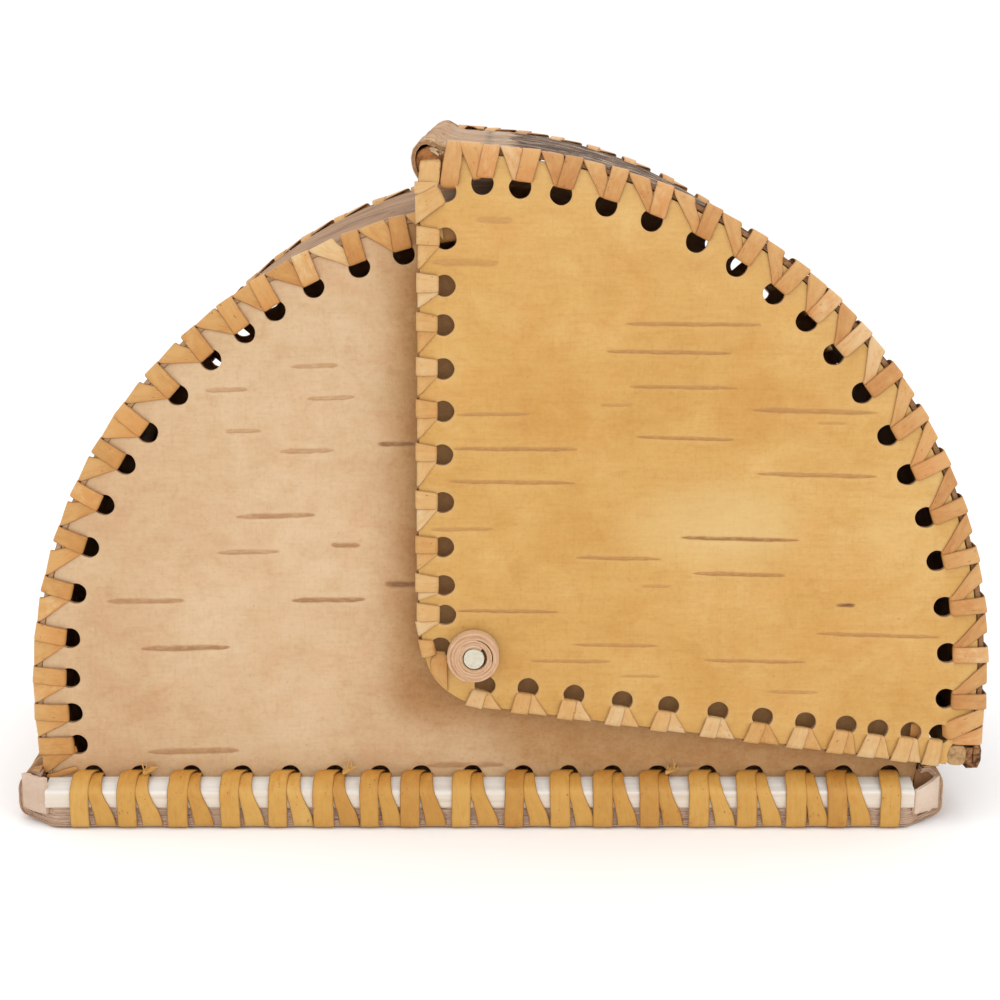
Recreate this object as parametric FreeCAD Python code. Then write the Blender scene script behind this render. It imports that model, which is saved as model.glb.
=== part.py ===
import FreeCAD, Part
import os, math
from FreeCAD import Vector as V

# Half-round birch bark box with a quarter-round cover that swings on two pegs.
# Millimetres. +Z up, front towards -Y. Origin: centre of the base's underside.

# ---------------------------------------------------------------- dimensions
BARK = 2.0            # panel sheet
BAND = 1.8            # arched bands
FLOOR_T = 2.3         # each of three floor sheets
GAP = 0.05            # paper gap between bark and lacing
LACE = 0.8            # lacing strip thickness
LACE_W = 5.9          # lacing strip width
HOLE_R = 3.4          # punched holes
BAND_HOLE_R = 3.0
BAND_HOLE_IN = 8.0    # band hole centre from the band's edge

SHELL_Y = 75.0        # outer face of the fixed panels
COVER_Y = 80.0        # outer face of the cover panels
SLAT_Y = 83.0         # outer face of the slats, edge of the floor sheets
PIVOT = (-1.85, 57.3)

# fixed outline: two flank arcs and a crown arc, tangent
FL_CX, FL_CZ, FL_R = 16.45, 39.2, 154.4      # left flank centre, panel edge radius
SYM_X = 1.1                                   # the outline's axis of symmetry
TAN_A = 102.66                                # angle about the flank centre where the crown starts
CR_D = (FL_CX - SYM_X) / -math.cos(math.radians(TAN_A))
CR_CZ = FL_CZ + CR_D * math.sin(math.radians(TAN_A))
CR_R = FL_R - CR_D

FLOOR_TOP = 3 * FLOOR_T                       # 6.9
SLAT_TOP = 16.95
SLAT_X0, SLAT_X1 = -137.1, 136.7
CURL_X = 147.4                                # outermost x of the curled floor ends
CURL_TOP_L, CURL_TOP_R = 17.6, 19.3
FLAT_Y = 64.0                                 # flat underside, inside the lacing

# cover outline
CC = (-7.15, 47.8)                            # arc centre
CC_R = 162.2                                  # panel edge radius
CB_Z0, CB_SLOPE = 38.9, -0.1325               # bottom edge line at x = 6.15, slope
CL_X0, CL_SLOPE = -17.3, -0.0082              # left edge line at z = 60, dx/dz
FIL_R = 25.0                                  # rounded corner by the peg

PEG_R = 3.9
ROLL_R = 8.25
HINGE_CLEAR = 0.07

# hole centres (x, z)
ARCH_HOLES = [(-9.2, 182.6), (-22.5, 180.2), (-35.9, 176.3), (-49.7, 170.3), (-61.5, 163.3),
              (-70.8, 156.6), (-81.3, 148.4), (-91.7, 137.6), (-101.3, 126.0), (-108.6, 116.1),
              (-115.7, 103.3), (-121.1, 89.8), (-125.8, 75.0), (-128.5, 60.4), (-129.2, 47.3),
              (-129.0, 35.7), (-127.9, 25.1)]
COVER_ARC_HOLES = [(145.5, 42.4), (145.1, 57.3), (143.3, 72.2), (140.3, 86.9), (136.1, 100.6),
                   (129.9, 114.0), (123.4, 126.1), (115.1, 139.1), (106.1, 150.8), (97.5, 160.8),
                   (87.5, 169.0), (76.2, 177.2), (64.2, 184.3), (50.8, 190.5), (37.4, 194.9),
                   (24.1, 198.2), (12.1, 200.1), (1.0, 201.2), (-9.9, 199.0)]
COVER_LEFT_HOLES = [(-9.9, 185.2), (-10.3, 171.3), (-10.7, 159.6), (-10.8, 146.4), (-10.9, 133.5),
                    (-11.3, 120.1), (-11.1, 105.3), (-11.2, 91.3), (-11.0, 79.1), (-10.7, 69.6),
                    (-12.3, 59.1)]
COVER_BOTTOM_HOLES = [(1.45, 46.7), (14.9, 45.8), (29.3, 43.6), (44.4, 41.6), (58.9, 39.9),
                      (74.4, 38.0), (88.4, 36.1), (101.9, 34.6), (114.7, 33.5), (124.7, 32.2),
                      (135.1, 31.3), (144.1, 30.6)]
# base lacing: centre x of each upright strip, and of its panel hole
BASE_STRIPS = [-126.4, -111.7, -95.3, -79.1, -63.7, -49.6, -35.2, -22.1, -5.8, 10.6, 25.0,
               38.7, 53.0, 69.0, 83.8, 99.5, 112.4, 129.1]
BASE_HOLES = [-123.2, -108.3, -92.0, -75.9, -60.6, -46.4, -32.0, -18.9, -2.6, 13.6, 28.0,
              41.9, 56.4, 72.0, 86.9, 102.0, 115.4, 130.0]
BASE_HOLE_Z = 16.2
FLOOR_HOLE_DX = 1.5
FLOOR_HOLE_Y = 67.0

os.makedirs("parts", exist_ok=True)
PARTS = {}


# ---------------------------------------------------------------- helpers
def p3(x, z, y=0.0):
    return V(x, y, z)


def arc(c, r, a0, a1):
    """Arc edge in XZ about c, degrees, from a0 to a1 by the shorter listed way."""
    am = 0.5 * (a0 + a1)
    pts = [p3(c[0] + r * math.cos(math.radians(a)), c[1] + r * math.sin(math.radians(a)))
           for a in (a0, am, a1)]
    return Part.Arc(*pts).toShape()


def seg(a, b):
    return Part.LineSegment(p3(*a), p3(*b)).toShape()


def face_of(edges):
    return Part.Face(Part.Wire(Part.__sortEdges__(edges)))


def slab(face, y0, y1):
    f = face.copy()
    f.translate(V(0, y0, 0))
    return f.extrude(V(0, y1 - y0, 0))


def cyl_y(x, z, r, y0, y1):
    return Part.makeCylinder(r, y1 - y0, V(x, y0, z), V(0, 1, 0))


def mirror_y(s):
    return s.mirror(V(0, 0, 0), V(0, 1, 0))


def prism(points, vec):
    pts = [V(*q) for q in points]
    return Part.Face(Part.makePolygon(pts + [pts[0]])).extrude(V(*vec))


def pt_on(c, r, a):
    return (c[0] + r * math.cos(math.radians(a)), c[1] + r * math.sin(math.radians(a)))


def strip_face(start, heading, segs, t):
    """Bent sheet seen edge-on: a path of lines ('L', length) and arcs
    ('A', radius, degrees, +1 left or -1 right) with thickness t about its middle line."""
    x, z = start
    h = heading
    left, right, ends = [], [], []

    def side(x, z, h, o):
        return (x - o * math.sin(math.radians(h)), z + o * math.cos(math.radians(h)))
    first = (side(x, z, h, t / 2), side(x, z, h, -t / 2))
    for s in segs:
        if s[0] == "L":
            nx = x + s[1] * math.cos(math.radians(h))
            nz = z + s[1] * math.sin(math.radians(h))
            left.append(seg(side(x, z, h, t / 2), side(nx, nz, h, t / 2)))
            right.append(seg(side(x, z, h, -t / 2), side(nx, nz, h, -t / 2)))
            x, z = nx, nz
        else:
            _, r, deg, sg = s
            c = side(x, z, h, sg * r)
            a0 = h - sg * 90.0
            a1 = a0 + sg * deg
            rl, rr = r - sg * t / 2, r + sg * t / 2
            left.append(arc(c, rl, a0, a1))
            right.append(arc(c, rr, a0, a1))
            x, z = pt_on(c, r, a1)
            h = h + sg * deg
    last = (side(x, z, h, t / 2), side(x, z, h, -t / 2))
    edges = left + right + [seg(first[0], first[1]), seg(last[0], last[1])]
    return face_of(edges), (x, z, h)


def export(name, shape, n=None):
    if shape.Volume < 0:
        shape = shape.reversed()
    solids = shape.Solids
    out = solids[0] if len(solids) == 1 else Part.makeCompound(solids)
    ok = out.isValid()
    print("%-26s solids %3d  vol %10.1f  valid %s  box z %.2f..%.2f" % (
        name, len(solids), out.Volume, ok, out.BoundBox.ZMin, out.BoundBox.ZMax))
    out.exportStep("parts/%s.step" % name)
    PARTS[name] = out


# ---------------------------------------------------------------- fixed panels
def flank_x(z, r, right=False):
    d = math.sqrt(r * r - (z - FL_CZ) ** 2)
    return (2 * SYM_X - FL_CX + d) if right else (FL_CX - d)


def fixed_outline(r, z0):
    lc, rc = (FL_CX, FL_CZ), (2 * SYM_X - FL_CX, FL_CZ)
    cc = (SYM_X, CR_CZ)
    cr = CR_R + (r - FL_R)
    at = TAN_A
    al = 180.0 + math.degrees(math.asin((FL_CZ - z0) / r))
    ar = -math.degrees(math.asin((FL_CZ - z0) / r))
    pl, pr = pt_on(lc, r, al), pt_on(rc, r, ar)
    return face_of([arc(lc, r, al, at), arc(cc, cr, at, 180.0 - at), arc(rc, r, 180.0 - at, ar),
                    seg(pr, pl)])


def arch_normal(h):
    """Outward normal at an arch hole, and the distance from the hole to the panel's edge."""
    # crown or flank, by the angle about the flank centre
    ang = math.degrees(math.atan2(h[1] - FL_CZ, h[0] - FL_CX))
    c, r = ((SYM_X, CR_CZ), CR_R) if ang < TAN_A and h[1] > FL_CZ else ((FL_CX, FL_CZ), FL_R)
    dx, dz = h[0] - c[0], h[1] - c[1]
    d = math.hypot(dx, dz)
    return (dx / d, dz / d), r - d


front = slab(fixed_outline(FL_R, FLOOR_TOP), -SHELL_Y, -SHELL_Y + BARK)
panel_cuts = [cyl_y(h[0], h[1], HOLE_R, -SHELL_Y - 1, -SHELL_Y + BARK + 1) for h in ARCH_HOLES]
panel_cuts += [cyl_y(x, BASE_HOLE_Z, HOLE_R, -SHELL_Y - 1, -SHELL_Y + BARK + 1) for x in BASE_HOLES]
panel_cuts += [cyl_y(PIVOT[0], PIVOT[1], PEG_R + 0.02, -SHELL_Y - 1, -SHELL_Y + BARK + 1)]

# ---------------------------------------------------------------- arched band of the shell
band_r = FL_R + GAP + BAND / 2                      # middle line about the flank centre
al = 180.0 + math.degrees(math.asin((FL_CZ - FLOOR_TOP - 0.35) / band_r))
start = pt_on((FL_CX, FL_CZ), band_r, al)
crown_r = CR_R + GAP + BAND / 2
x_end = 4.2                                         # where the band starts to roll round its stick
a_end = 90.0 - math.degrees(math.asin((x_end - SYM_X) / crown_r))
ARCH_ROLL_R = 4.1
segs = [("A", band_r, al - TAN_A, -1), ("A", crown_r, TAN_A - a_end, -1),
        ("A", ARCH_ROLL_R, 200.0, -1)]
f, _ = strip_face(start, al - 90.0, segs, BAND)
arch_roll_c = pt_on((SYM_X, CR_CZ), crown_r - ARCH_ROLL_R, a_end)
band = slab(f, -SHELL_Y, SHELL_Y)
cuts = []
for h in ARCH_HOLES:
    n, e = arch_normal(h)
    for s in (-1, 1):
        cuts.append(Part.makeCylinder(BAND_HOLE_R, 8.0, V(h[0] + n[0] * (e - 3), s * (SHELL_Y - BAND_HOLE_IN),
                                                         h[1] + n[1] * (e - 3)), V(n[0], 0, n[1])))
band = band.cut(cuts)
export("arch_band", band)

# the panels are notched where the band's free end rolls round its stick
panel_cuts.append(cyl_y(arch_roll_c[0], arch_roll_c[1], ARCH_ROLL_R + BAND / 2 + 0.15,
                        -SHELL_Y - 1, -SHELL_Y + BARK + 1))
front = front.cut(panel_cuts)
export("front_panel", front)
export("back_panel", mirror_y(front))
ARCH_STICK_R = 2.9
export("arch_end_stick", cyl_y(arch_roll_c[0], arch_roll_c[1], ARCH_STICK_R,
                               -SHELL_Y + BARK + 0.2, SHELL_Y - BARK - 0.2))

# ---------------------------------------------------------------- floor sheets and slats
def plan_cut(shape):
    """Trim the corners in plan, from the slat's end to the curl."""
    cs = []
    for sx in (-1, 1):
        for sy in (-1, 1):
            cs.append(prism([(sx * 134.0, sy * (SLAT_Y + 1.2), -5), (sx * 143.5, sy * 75.6, -5),
                             (sx * 160.0, sy * 75.6, -5), (sx * 160.0, sy * (SLAT_Y + 1.2), -5)],
                            (0, 0, 40)))
    return shape.cut(cs)


def floor_holes(z0, z1):
    return [Part.makeCylinder(HOLE_R, z1 - z0, V(x + FLOOR_HOLE_DX, s * FLOOR_HOLE_Y, z0), V(0, 0, 1))
            for x in BASE_STRIPS for s in (-1, 1)]


t = FLOOR_T
rc = 6.6                                            # middle radius of the curled ends
xm = CURL_X - t / 2
hl = CURL_TOP_L - t / 2
hr = CURL_TOP_R - t / 2
x_lip_l, x_lip_r = -139.9, 139.5
# from the left lip, out, down and under, along the floor, and up round the right end
segs = [("L", (xm - rc) + x_lip_l if (xm - rc) + x_lip_l > 0.2 else 0.6),
        ("A", rc, 90.0, +1), ("L", hl - t / 2 - 2 * rc), ("A", rc, 90.0, +1),
        ("L", 2 * (xm - rc)), ("A", rc, 90.0, +1), ("L", hr - t / 2 - 2 * rc), ("A", rc, 90.0, +1),
        ("L", (xm - rc) - x_lip_r if (xm - rc) - x_lip_r > 0.2 else 0.6)]
l0 = segs[0][1]
f, _ = strip_face((-(xm - rc) + l0, hl), 180.0, segs, t)
outer = plan_cut(slab(f, -SLAT_Y, SLAT_Y))
cuts = floor_holes(-1, FLOOR_TOP + 1)
for sy in (-1, 1):                                  # lacing beds pressed into the underside
    y0, y1 = sorted((sy * FLAT_Y, sy * (SLAT_Y + 1)))
    cuts.append(Part.makeBox(276, y1 - y0, 2.0, V(-138, y0, -1.0)))
outer = outer.cut(cuts)
export("floor_outer_sheet", outer)

# the inner sheets stop short of the curl
for name, z0 in (("floor_middle_sheet", t), ("floor_inner_sheet", 2 * t)):
    hx = 139.6 if name == "floor_middle_sheet" else 141.6
    sh = Part.makeBox(2 * hx, 2 * SLAT_Y, t, V(-hx, -SLAT_Y, z0))
    sh = plan_cut(sh).cut(floor_holes(-1, FLOOR_TOP + 1))
    export(name, sh)

# half-round peeled slat, flat side to the panel
prof = Part.Face(Part.makePolygon([V(SLAT_X0, -SHELL_Y - GAP, FLOOR_TOP), V(SLAT_X0, -SLAT_Y, FLOOR_TOP),
                                   V(SLAT_X0, -SLAT_Y, SLAT_TOP), V(SLAT_X0, -SHELL_Y - GAP, SLAT_TOP),
                                   V(SLAT_X0, -SHELL_Y - GAP, FLOOR_TOP)]))
slat = prof.extrude(V(SLAT_X1 - SLAT_X0, 0, 0))
edges = [e for e in slat.Edges if abs(e.BoundBox.YMin + SLAT_Y) < 1e-3 and abs(e.BoundBox.YMax + SLAT_Y) < 1e-3
         and e.BoundBox.XLength > 100]
slat = slat.makeFillet(3.2, edges)
export("front_slat", slat)
export("back_slat", mirror_y(slat))


# ---------------------------------------------------------------- base lacing
def fuse_all(parts):
    s = parts[0].multiFuse(parts[1:])
    return s.removeSplitter()


def base_lacing():
    out = []
    yo = -SLAT_Y - 0.1 - LACE          # -83.9
    yi = -SLAT_Y - 0.1                 # -83.1
    zt0, zt1 = SLAT_TOP + GAP, SLAT_TOP + GAP + LACE
    zb0, zb1 = 0.1, 0.9
    yh = -FLOOR_HOLE_Y
    w = LACE_W / 2
    ztop = FLOOR_TOP + GAP
    for i, (xs, xh) in enumerate(zip(BASE_STRIPS, BASE_HOLES)):
        # upright strip: over the slat, down its face, under the floor
        out.append(Part.makeBox(2 * w, -SHELL_Y - GAP - yo, LACE, V(xs - w, yo, zt0)))
        out.append(Part.makeBox(2 * w, LACE, zt1 - zb0, V(xs - w, yo, zb0)))
        out.append(Part.makeBox(2 * w, (yh + 0.4) - yo, LACE, V(xs - w, yo, zb0)))
        # through the panel
        out.append(Part.makeBox(5.8, BARK + 2 * GAP + LACE, LACE, V(xh - 2.9, -SHELL_Y - GAP, zt0)))
        # inside: down the panel, along the floor, down through the floor hole
        xa, xb = xs - 0.5, max(xs + 3.6, xh + 2.4)
        out.append(Part.makeBox(xb - xa, LACE, zt1 - ztop, V(xa, -SHELL_Y + BARK + GAP, ztop)))
        out.append(Part.makeBox(xb - xa, (yh + 0.4) - (-SHELL_Y + BARK + GAP), LACE,
                                V(xa, -SHELL_Y + BARK + GAP, ztop)))
        xf = xs + FLOOR_HOLE_DX
        out.append(Part.makeBox(5.2, LACE, ztop + LACE - zb0, V(xf - 2.6, yh - 0.4, zb0)))
        # slanted strip to the next stitch
        if i + 1 < len(BASE_STRIPS):
            xn = BASE_STRIPS[i + 1]
            a0, a1 = xs + w - 0.3, xs + w + 5.9
            b0, b1 = xn - w - 5.9, xn - w + 0.3
            if b0 < xs + w + 0.4:
                b0 = xs + w + 0.4
            out.append(Part.makeBox(a1 - a0, -SHELL_Y - GAP - yo, LACE, V(a0, yo, zt0)))
            out.append(prism([(a0, yo, zt1), (a1, yo, zt1), (b1, yo, zb0), (b0, yo, zb0)], (0, LACE, 0)))
            c0, c1 = xn - 1.0, xn + 3.6
            out.append(prism([(b0, yo, zb0), (b1, yo, zb0), (c1, yh + 0.4, zb0), (c0, yh + 0.4, zb0)],
                             (0, 0, LACE)))
    return fuse_all(out)


bl = base_lacing()
export("base_lacing_front", bl)
export("base_lacing_back", mirror_y(bl))


# ---------------------------------------------------------------- lacing round an edge
def edge_lacing(holes, normals, edist, yface, yback, tb, shift=-1.2, dw=8.6, last_slant=False):
    """Bark strip whipped along an edge. holes run in the direction the slanted strips lean.
    tb: thickness of a band over the edge (0 for a bare sheet edge)."""
    out = []
    w = LACE_W / 2
    yo = yface - LACE                       # outside of the strips on the face
    n_holes = len(holes)
    fr = []
    for h, n in zip(holes, normals):
        t = (-n[1], n[0])                   # left of the outward normal: counter-clockwise
        fr.append((h, n, t))

    def P(k, a, b, y):
        h, n, t = fr[k]
        return (h[0] + a * n[0] + b * t[0], y, h[1] + a * n[1] + b * t[1])
    for k in range(n_holes):
        e = edist[k] + tb
        a1 = e + GAP + LACE
        b0, b1 = shift - w, shift + w
        n = fr[k][1]
        # straight strip on the face
        out.append(prism([P(k, 1.2, b0, yo), P(k, a1, b0, yo), P(k, a1, b1, yo), P(k, 1.2, b1, yo)],
                         (0, LACE - GAP, 0)))
        # through the sheet
        depth = (yback - yface)
        out.append(prism([P(k, 1.2, -2.4, yo), P(k, 2.2, -2.4, yo), P(k, 2.2, 2.4, yo), P(k, 1.2, 2.4, yo)],
                         (0, LACE + depth + 0.4, 0)))
        if tb > 0:
            yb = yface + BAND_HOLE_IN
            # over the band, to its hole
            out.append(prism([P(k, e + GAP, b0, yo), P(k, a1, b0, yo), P(k, a1, b1, yo), P(k, e + GAP, b1, yo)],
                             (0, yb + 0.5 - yo, 0)))
            # through the band
            ez = edist[k]
            out.append(prism([P(k, ez - 1.0, -2.2, yb - 0.5), P(k, a1, -2.2, yb - 0.5),
                              P(k, a1, 2.2, yb - 0.5), P(k, ez - 1.0, 2.2, yb - 0.5)], (0, 1.0, 0)))
            # inside, back to the panel's hole
            t = fr[k][2]
            q = [P(k, ez - 0.15, -2.2, yb + 0.5), P(k, ez - 0.15, -2.2, yb - 0.7),
                 P(k, 2.2, -2.2, yback + GAP), P(k, 1.2, -2.2, yback + GAP), P(k, 1.2, -2.2, yback + 0.4)]
            out.append(prism(q, (4.4 * t[0], 0, 4.4 * t[1])))
        else:
            # round the bare edge and back on the inner face
            out.append(prism([P(k, e + GAP, b0, yo), P(k, a1, b0, yo), P(k, a1, b1, yo), P(k, e + GAP, b1, yo)],
                             (0, yback - yface + 2 * LACE, 0)))
            yi = yback + GAP
            out.append(prism([P(k, 1.2, b0, yi), P(k, a1, b0, yi), P(k, a1, b1, yi), P(k, 1.2, b1, yi)],
                             (0, LACE - GAP, 0)))
        # slanted strip to the neighbour
        if k + 1 < n_holes:
            e2 = edist[k + 1] + tb
            ao = e2 + GAP + LACE
            gapw = math.hypot(holes[k + 1][0] - holes[k][0], holes[k + 1][1] - holes[k][1])
            nd = max(2.0, min(dw, gapw - LACE_W + 1.2))
            # outer end, in the neighbour's frame
            o1, o0 = b0 + 0.3, b0 - nd
            A = P(k, 1.3, -1.2, yo)
            B = P(k, 1.3, 2.3, yo)
            # outer corners, kept just outside the edge
            C = P(k + 1, ao, o1, yo)
            D_ = P(k + 1, ao - 0.02 * nd, o0, yo)
            out.append(prism([A, D_, C, B], (0, LACE - GAP, 0)))
            if tb > 0:
                yb = yface + BAND_HOLE_IN
                q = [P(k + 1, e2 + GAP, o0, yo), P(k + 1, e2 + GAP, o1, yo),
                     P(k + 1, e2 + GAP, 2.2, yb + 0.5), P(k + 1, e2 + GAP, -2.2, yb + 0.5)]
                nn = fr[k + 1][1]
                out.append(prism(q, (LACE * nn[0], 0, LACE * nn[1])))
            else:
                q = [P(k + 1, e2 + GAP, o0, yo), P(k + 1, ao, o0, yo), P(k + 1, ao, o1, yo), P(k + 1, e2 + GAP, o1, yo)]
                out.append(prism(q, (0, yback - yface + 2 * LACE, 0)))
                yi = yback + GAP
                q = [P(k + 1, ao, o0, yi), P(k + 1, ao, o1, yi), P(k + 1, 1.3, 2.3, yi), P(k + 1, 1.3, -1.2, yi)]
                out.append(prism(q, (0, LACE - GAP, 0)))
    return fuse_all(out)


norms, eds = zip(*[arch_normal(h) for h in ARCH_HOLES])
al_ = edge_lacing(ARCH_HOLES, norms, eds, -SHELL_Y, -SHELL_Y + BARK, BAND + GAP)
export("arch_lacing_front", al_)
export("arch_lacing_back", mirror_y(al_))


# ---------------------------------------------------------------- cover panel
def left_x(z):
    return CL_X0 + CL_SLOPE * (z - 60.0)


def bottom_z(x):
    return CB_Z0 + CB_SLOPE * (x - 6.15)


lu = (CL_SLOPE, 1.0)
ln_ = math.hypot(*lu)
lu = (lu[0] / ln_, lu[1] / ln_)                     # up the left edge
l_in = (lu[1], -lu[0])                              # inward from the left edge
bu = (1.0, CB_SLOPE)
bn_ = math.hypot(*bu)
bu = (bu[0] / bn_, bu[1] / bn_)                     # along the bottom edge, to the right
b_in = (-bu[1], bu[0])                              # inward from the bottom edge


def fillet_centre(r):
    # both offset lines meet
    a = (left_x(60.0) + l_in[0] * r, 60.0 + l_in[1] * r)
    b = (6.15 + b_in[0] * r, CB_Z0 + b_in[1] * r)
    det = lu[0] * (-bu[1]) - lu[1] * (-bu[0])
    dx, dz = b[0] - a[0], b[1] - a[1]
    s = (dx * (-bu[1]) - dz * (-bu[0])) / det
    return (a[0] + lu[0] * s, a[1] + lu[1] * s)


FC = fillet_centre(FIL_R)
f_left = (FC[0] - l_in[0] * FIL_R, FC[1] - l_in[1] * FIL_R)
f_bot = (FC[0] - b_in[0] * FIL_R, FC[1] - b_in[1] * FIL_R)


def inside_cover(x, z):
    if math.hypot(x - CC[0], z - CC[1]) > CC_R or x < left_x(z) or z < bottom_z(x):
        return False
    if x < f_bot[0] and z < f_left[1] and math.hypot(x - FC[0], z - FC[1]) > FIL_R:
        return False
    return True


def edge_dist(h, n):
    a = 0.0
    while inside_cover(h[0] + n[0] * a, h[1] + n[1] * a) and a < 30:
        a += 0.02
    return a


# corner points: left edge with the arc, bottom edge with the arc
def line_circle(p, u, c, r):
    dx, dz = p[0] - c[0], p[1] - c[1]
    b = dx * u[0] + dz * u[1]
    return -b + math.sqrt(b * b - (dx * dx + dz * dz - r * r))


s = line_circle(f_left, lu, CC, CC_R)
TL = (f_left[0] + lu[0] * s, f_left[1] + lu[1] * s)
s = line_circle(f_bot, bu, CC, CC_R)
BR = (f_bot[0] + bu[0] * s, f_bot[1] + bu[1] * s)
aTL = math.degrees(math.atan2(TL[1] - CC[1], TL[0] - CC[0]))
aBR = math.degrees(math.atan2(BR[1] - CC[1], BR[0] - CC[0]))
aFL = math.degrees(math.atan2(f_left[1] - FC[1], f_left[0] - FC[0]))
aFB = math.degrees(math.atan2(f_bot[1] - FC[1], f_bot[0] - FC[0]))
if aFL < 0:
    aFL += 360.0
if aFB < 0:
    aFB += 360.0
cover_face = face_of([arc(CC, CC_R, aBR, aTL), seg(TL, f_left), arc(FC, FIL_R, aFL, aFB), seg(f_bot, BR)])

# cover band: from the tip of the upper roll, over the arc, down to the lower roll
CB_R = CC_R + GAP + BAND / 2
TOP_ROLL_R, BOT_ROLL_R = 4.6, 4.0
a_top = 92.4
c_top = pt_on(CC, CB_R - TOP_ROLL_R, a_top)
tip = pt_on(c_top, TOP_ROLL_R, a_top + 205.0)
x_side = CC[0] + CB_R
z_bot = 23.7
segs = [("A", TOP_ROLL_R, 205.0, -1), ("A", CB_R, a_top, -1), ("L", CC[1] - z_bot),
        ("A", BOT_ROLL_R, 170.0, -1)]
f, _ = strip_face(tip, a_top + 205.0 - 90.0, segs, BAND)
c_bot = (x_side - BOT_ROLL_R, z_bot)
cband = slab(f, -COVER_Y, COVER_Y)


def cover_normal(h):
    dx, dz = h[0] - CC[0], h[1] - CC[1]
    d = math.hypot(dx, dz)
    n = (dx / d, dz / d)
    return n, CC_R - d


cuts = []
for h in COVER_ARC_HOLES:
    n, e = cover_normal(h)
    if h[1] < CC[1]:
        n, e = (1.0, 0.0), x_side - BAND / 2 - GAP - h[0]
    for s in (-1, 1):
        cuts.append(Part.makeCylinder(BAND_HOLE_R, 8.0, V(h[0] + n[0] * (e - 3), s * (COVER_Y - BAND_HOLE_IN),
                                                         h[1] + n[1] * (e - 3)), V(n[0], 0, n[1])))
cband = cband.cut(cuts)
export("cover_arch_band", cband)
TOP_STICK_R, BOT_STICK_R = 3.2, 2.8
export("cover_top_stick", cyl_y(c_top[0], c_top[1], TOP_STICK_R, -COVER_Y + 0.6, COVER_Y - 0.6))
export("cover_bottom_stick", cyl_y(c_bot[0], c_bot[1], BOT_STICK_R, -COVER_Y, COVER_Y))

yo, yi = -COVER_Y, -COVER_Y + BARK
cpanel = slab(cover_face, yo, yi)
cuts = [cyl_y(h[0], h[1], HOLE_R, yo - 1, yi + 1) for h in
        COVER_ARC_HOLES + COVER_LEFT_HOLES + COVER_BOTTOM_HOLES]
cuts.append(cyl_y(PIVOT[0], PIVOT[1], PEG_R + HINGE_CLEAR, yo - 1, yi + 1))
cuts.append(cyl_y(c_top[0], c_top[1], TOP_ROLL_R + BAND / 2 + 0.15, yo - 1, yi + 1))
cuts.append(cyl_y(c_bot[0], c_bot[1], BOT_ROLL_R + BAND / 2 + 0.15, yo - 1, yi + 1))
# cut the panel clear of the band's rolled lower part
cuts.append(Part.makeBox(30, 4, 40, V(x_side - BAND / 2 - GAP, yo - 1, 5)))
cpanel = cpanel.cut(cuts)
main = max(cpanel.Solids, key=lambda q: q.Volume)
export("cover_front_panel", main)
export("cover_back_panel", mirror_y(main))

# cover arc lacing (the first hole's normal is square to the band's straight end)
ns, es = [], []
for h in COVER_ARC_HOLES:
    n, e = cover_normal(h)
    if h[1] < CC[1]:
        n, e = (1.0, 0.0), x_side - BAND / 2 - GAP - h[0]
    ns.append(n)
    es.append(e)
# the last hole, at the corner, lies under the roll: its strips start on the straight edge
cl = edge_lacing(COVER_ARC_HOLES[:-1], ns[:-1], es[:-1], yo, yi, BAND + GAP)
export("cover_arc_lacing_front", cl)
export("cover_arc_lacing_back", mirror_y(cl))

# cover edge lacing: down the left edge, round the corner, along the bottom edge
holes = COVER_LEFT_HOLES + COVER_BOTTOM_HOLES
ns = []
for h in COVER_LEFT_HOLES[:-1]:
    ns.append((-l_in[0], -l_in[1]))
ns.append((-math.cos(math.radians(12)), -math.sin(math.radians(12))))
ns.append((-math.sin(math.radians(15)), -math.cos(math.radians(15))))
for h in COVER_BOTTOM_HOLES[1:]:
    ns.append((-b_in[0], -b_in[1]))
es = [edge_dist(h, n) for h, n in zip(holes, ns)]
es = [min(e, 12.0) for e in es]
n_left = len(COVER_LEFT_HOLES)
e1 = edge_lacing(holes[:n_left], ns[:n_left], es[:n_left], yo, yi, 0.0, dw=8.0)
e2 = edge_lacing(holes[n_left:], ns[n_left:], es[n_left:], yo, yi, 0.0, dw=8.0)
# one strip round the corner joins both runs, on the inner face, clear of the peg
ha, hb = holes[n_left - 1], holes[n_left]
yj = yi + GAP
ang0 = math.degrees(math.atan2(ha[1] - PIVOT[1], ha[0] - PIVOT[0]))
corner = prism([(ha[0] - 3.2, yj, ha[1] + 1.0), (ha[0] - 0.8, yj, ha[1] + 0.5),
                (hb[0] - 0.5, yj, hb[1] - 0.8), (hb[0] - 1.0, yj, hb[1] - 3.4)], (0, LACE - GAP, 0))
joined = fuse_all([e1, corner, e2])
export("cover_edge_lacing_front", joined)
export("cover_edge_lacing_back", mirror_y(joined))

# ---------------------------------------------------------------- pegs and rolls
y_out, y_in = -COVER_Y - 6.0, -SHELL_Y + BARK + 6.4
peg = cyl_y(PIVOT[0], PIVOT[1], PEG_R, y_out - 0.4, y_in + 0.6)
export("pivot_peg_front", peg)
export("pivot_peg_back", mirror_y(peg))


def bark_roll(y0, y1):
    """A strip of bark wound round the peg: a spiral with a small step at its outer end."""
    body = cyl_y(PIVOT[0], PIVOT[1], ROLL_R, y0, y1).cut(cyl_y(PIVOT[0], PIVOT[1], PEG_R + 0.02, y0 - 1, y1 + 1))
    step = Part.makeBox(3.0, y1 - y0 + 2, 0.6, V(PIVOT[0] - 1.5, y0 - 1, PIVOT[1] + ROLL_R - 0.35))
    return body.cut(step)


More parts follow.
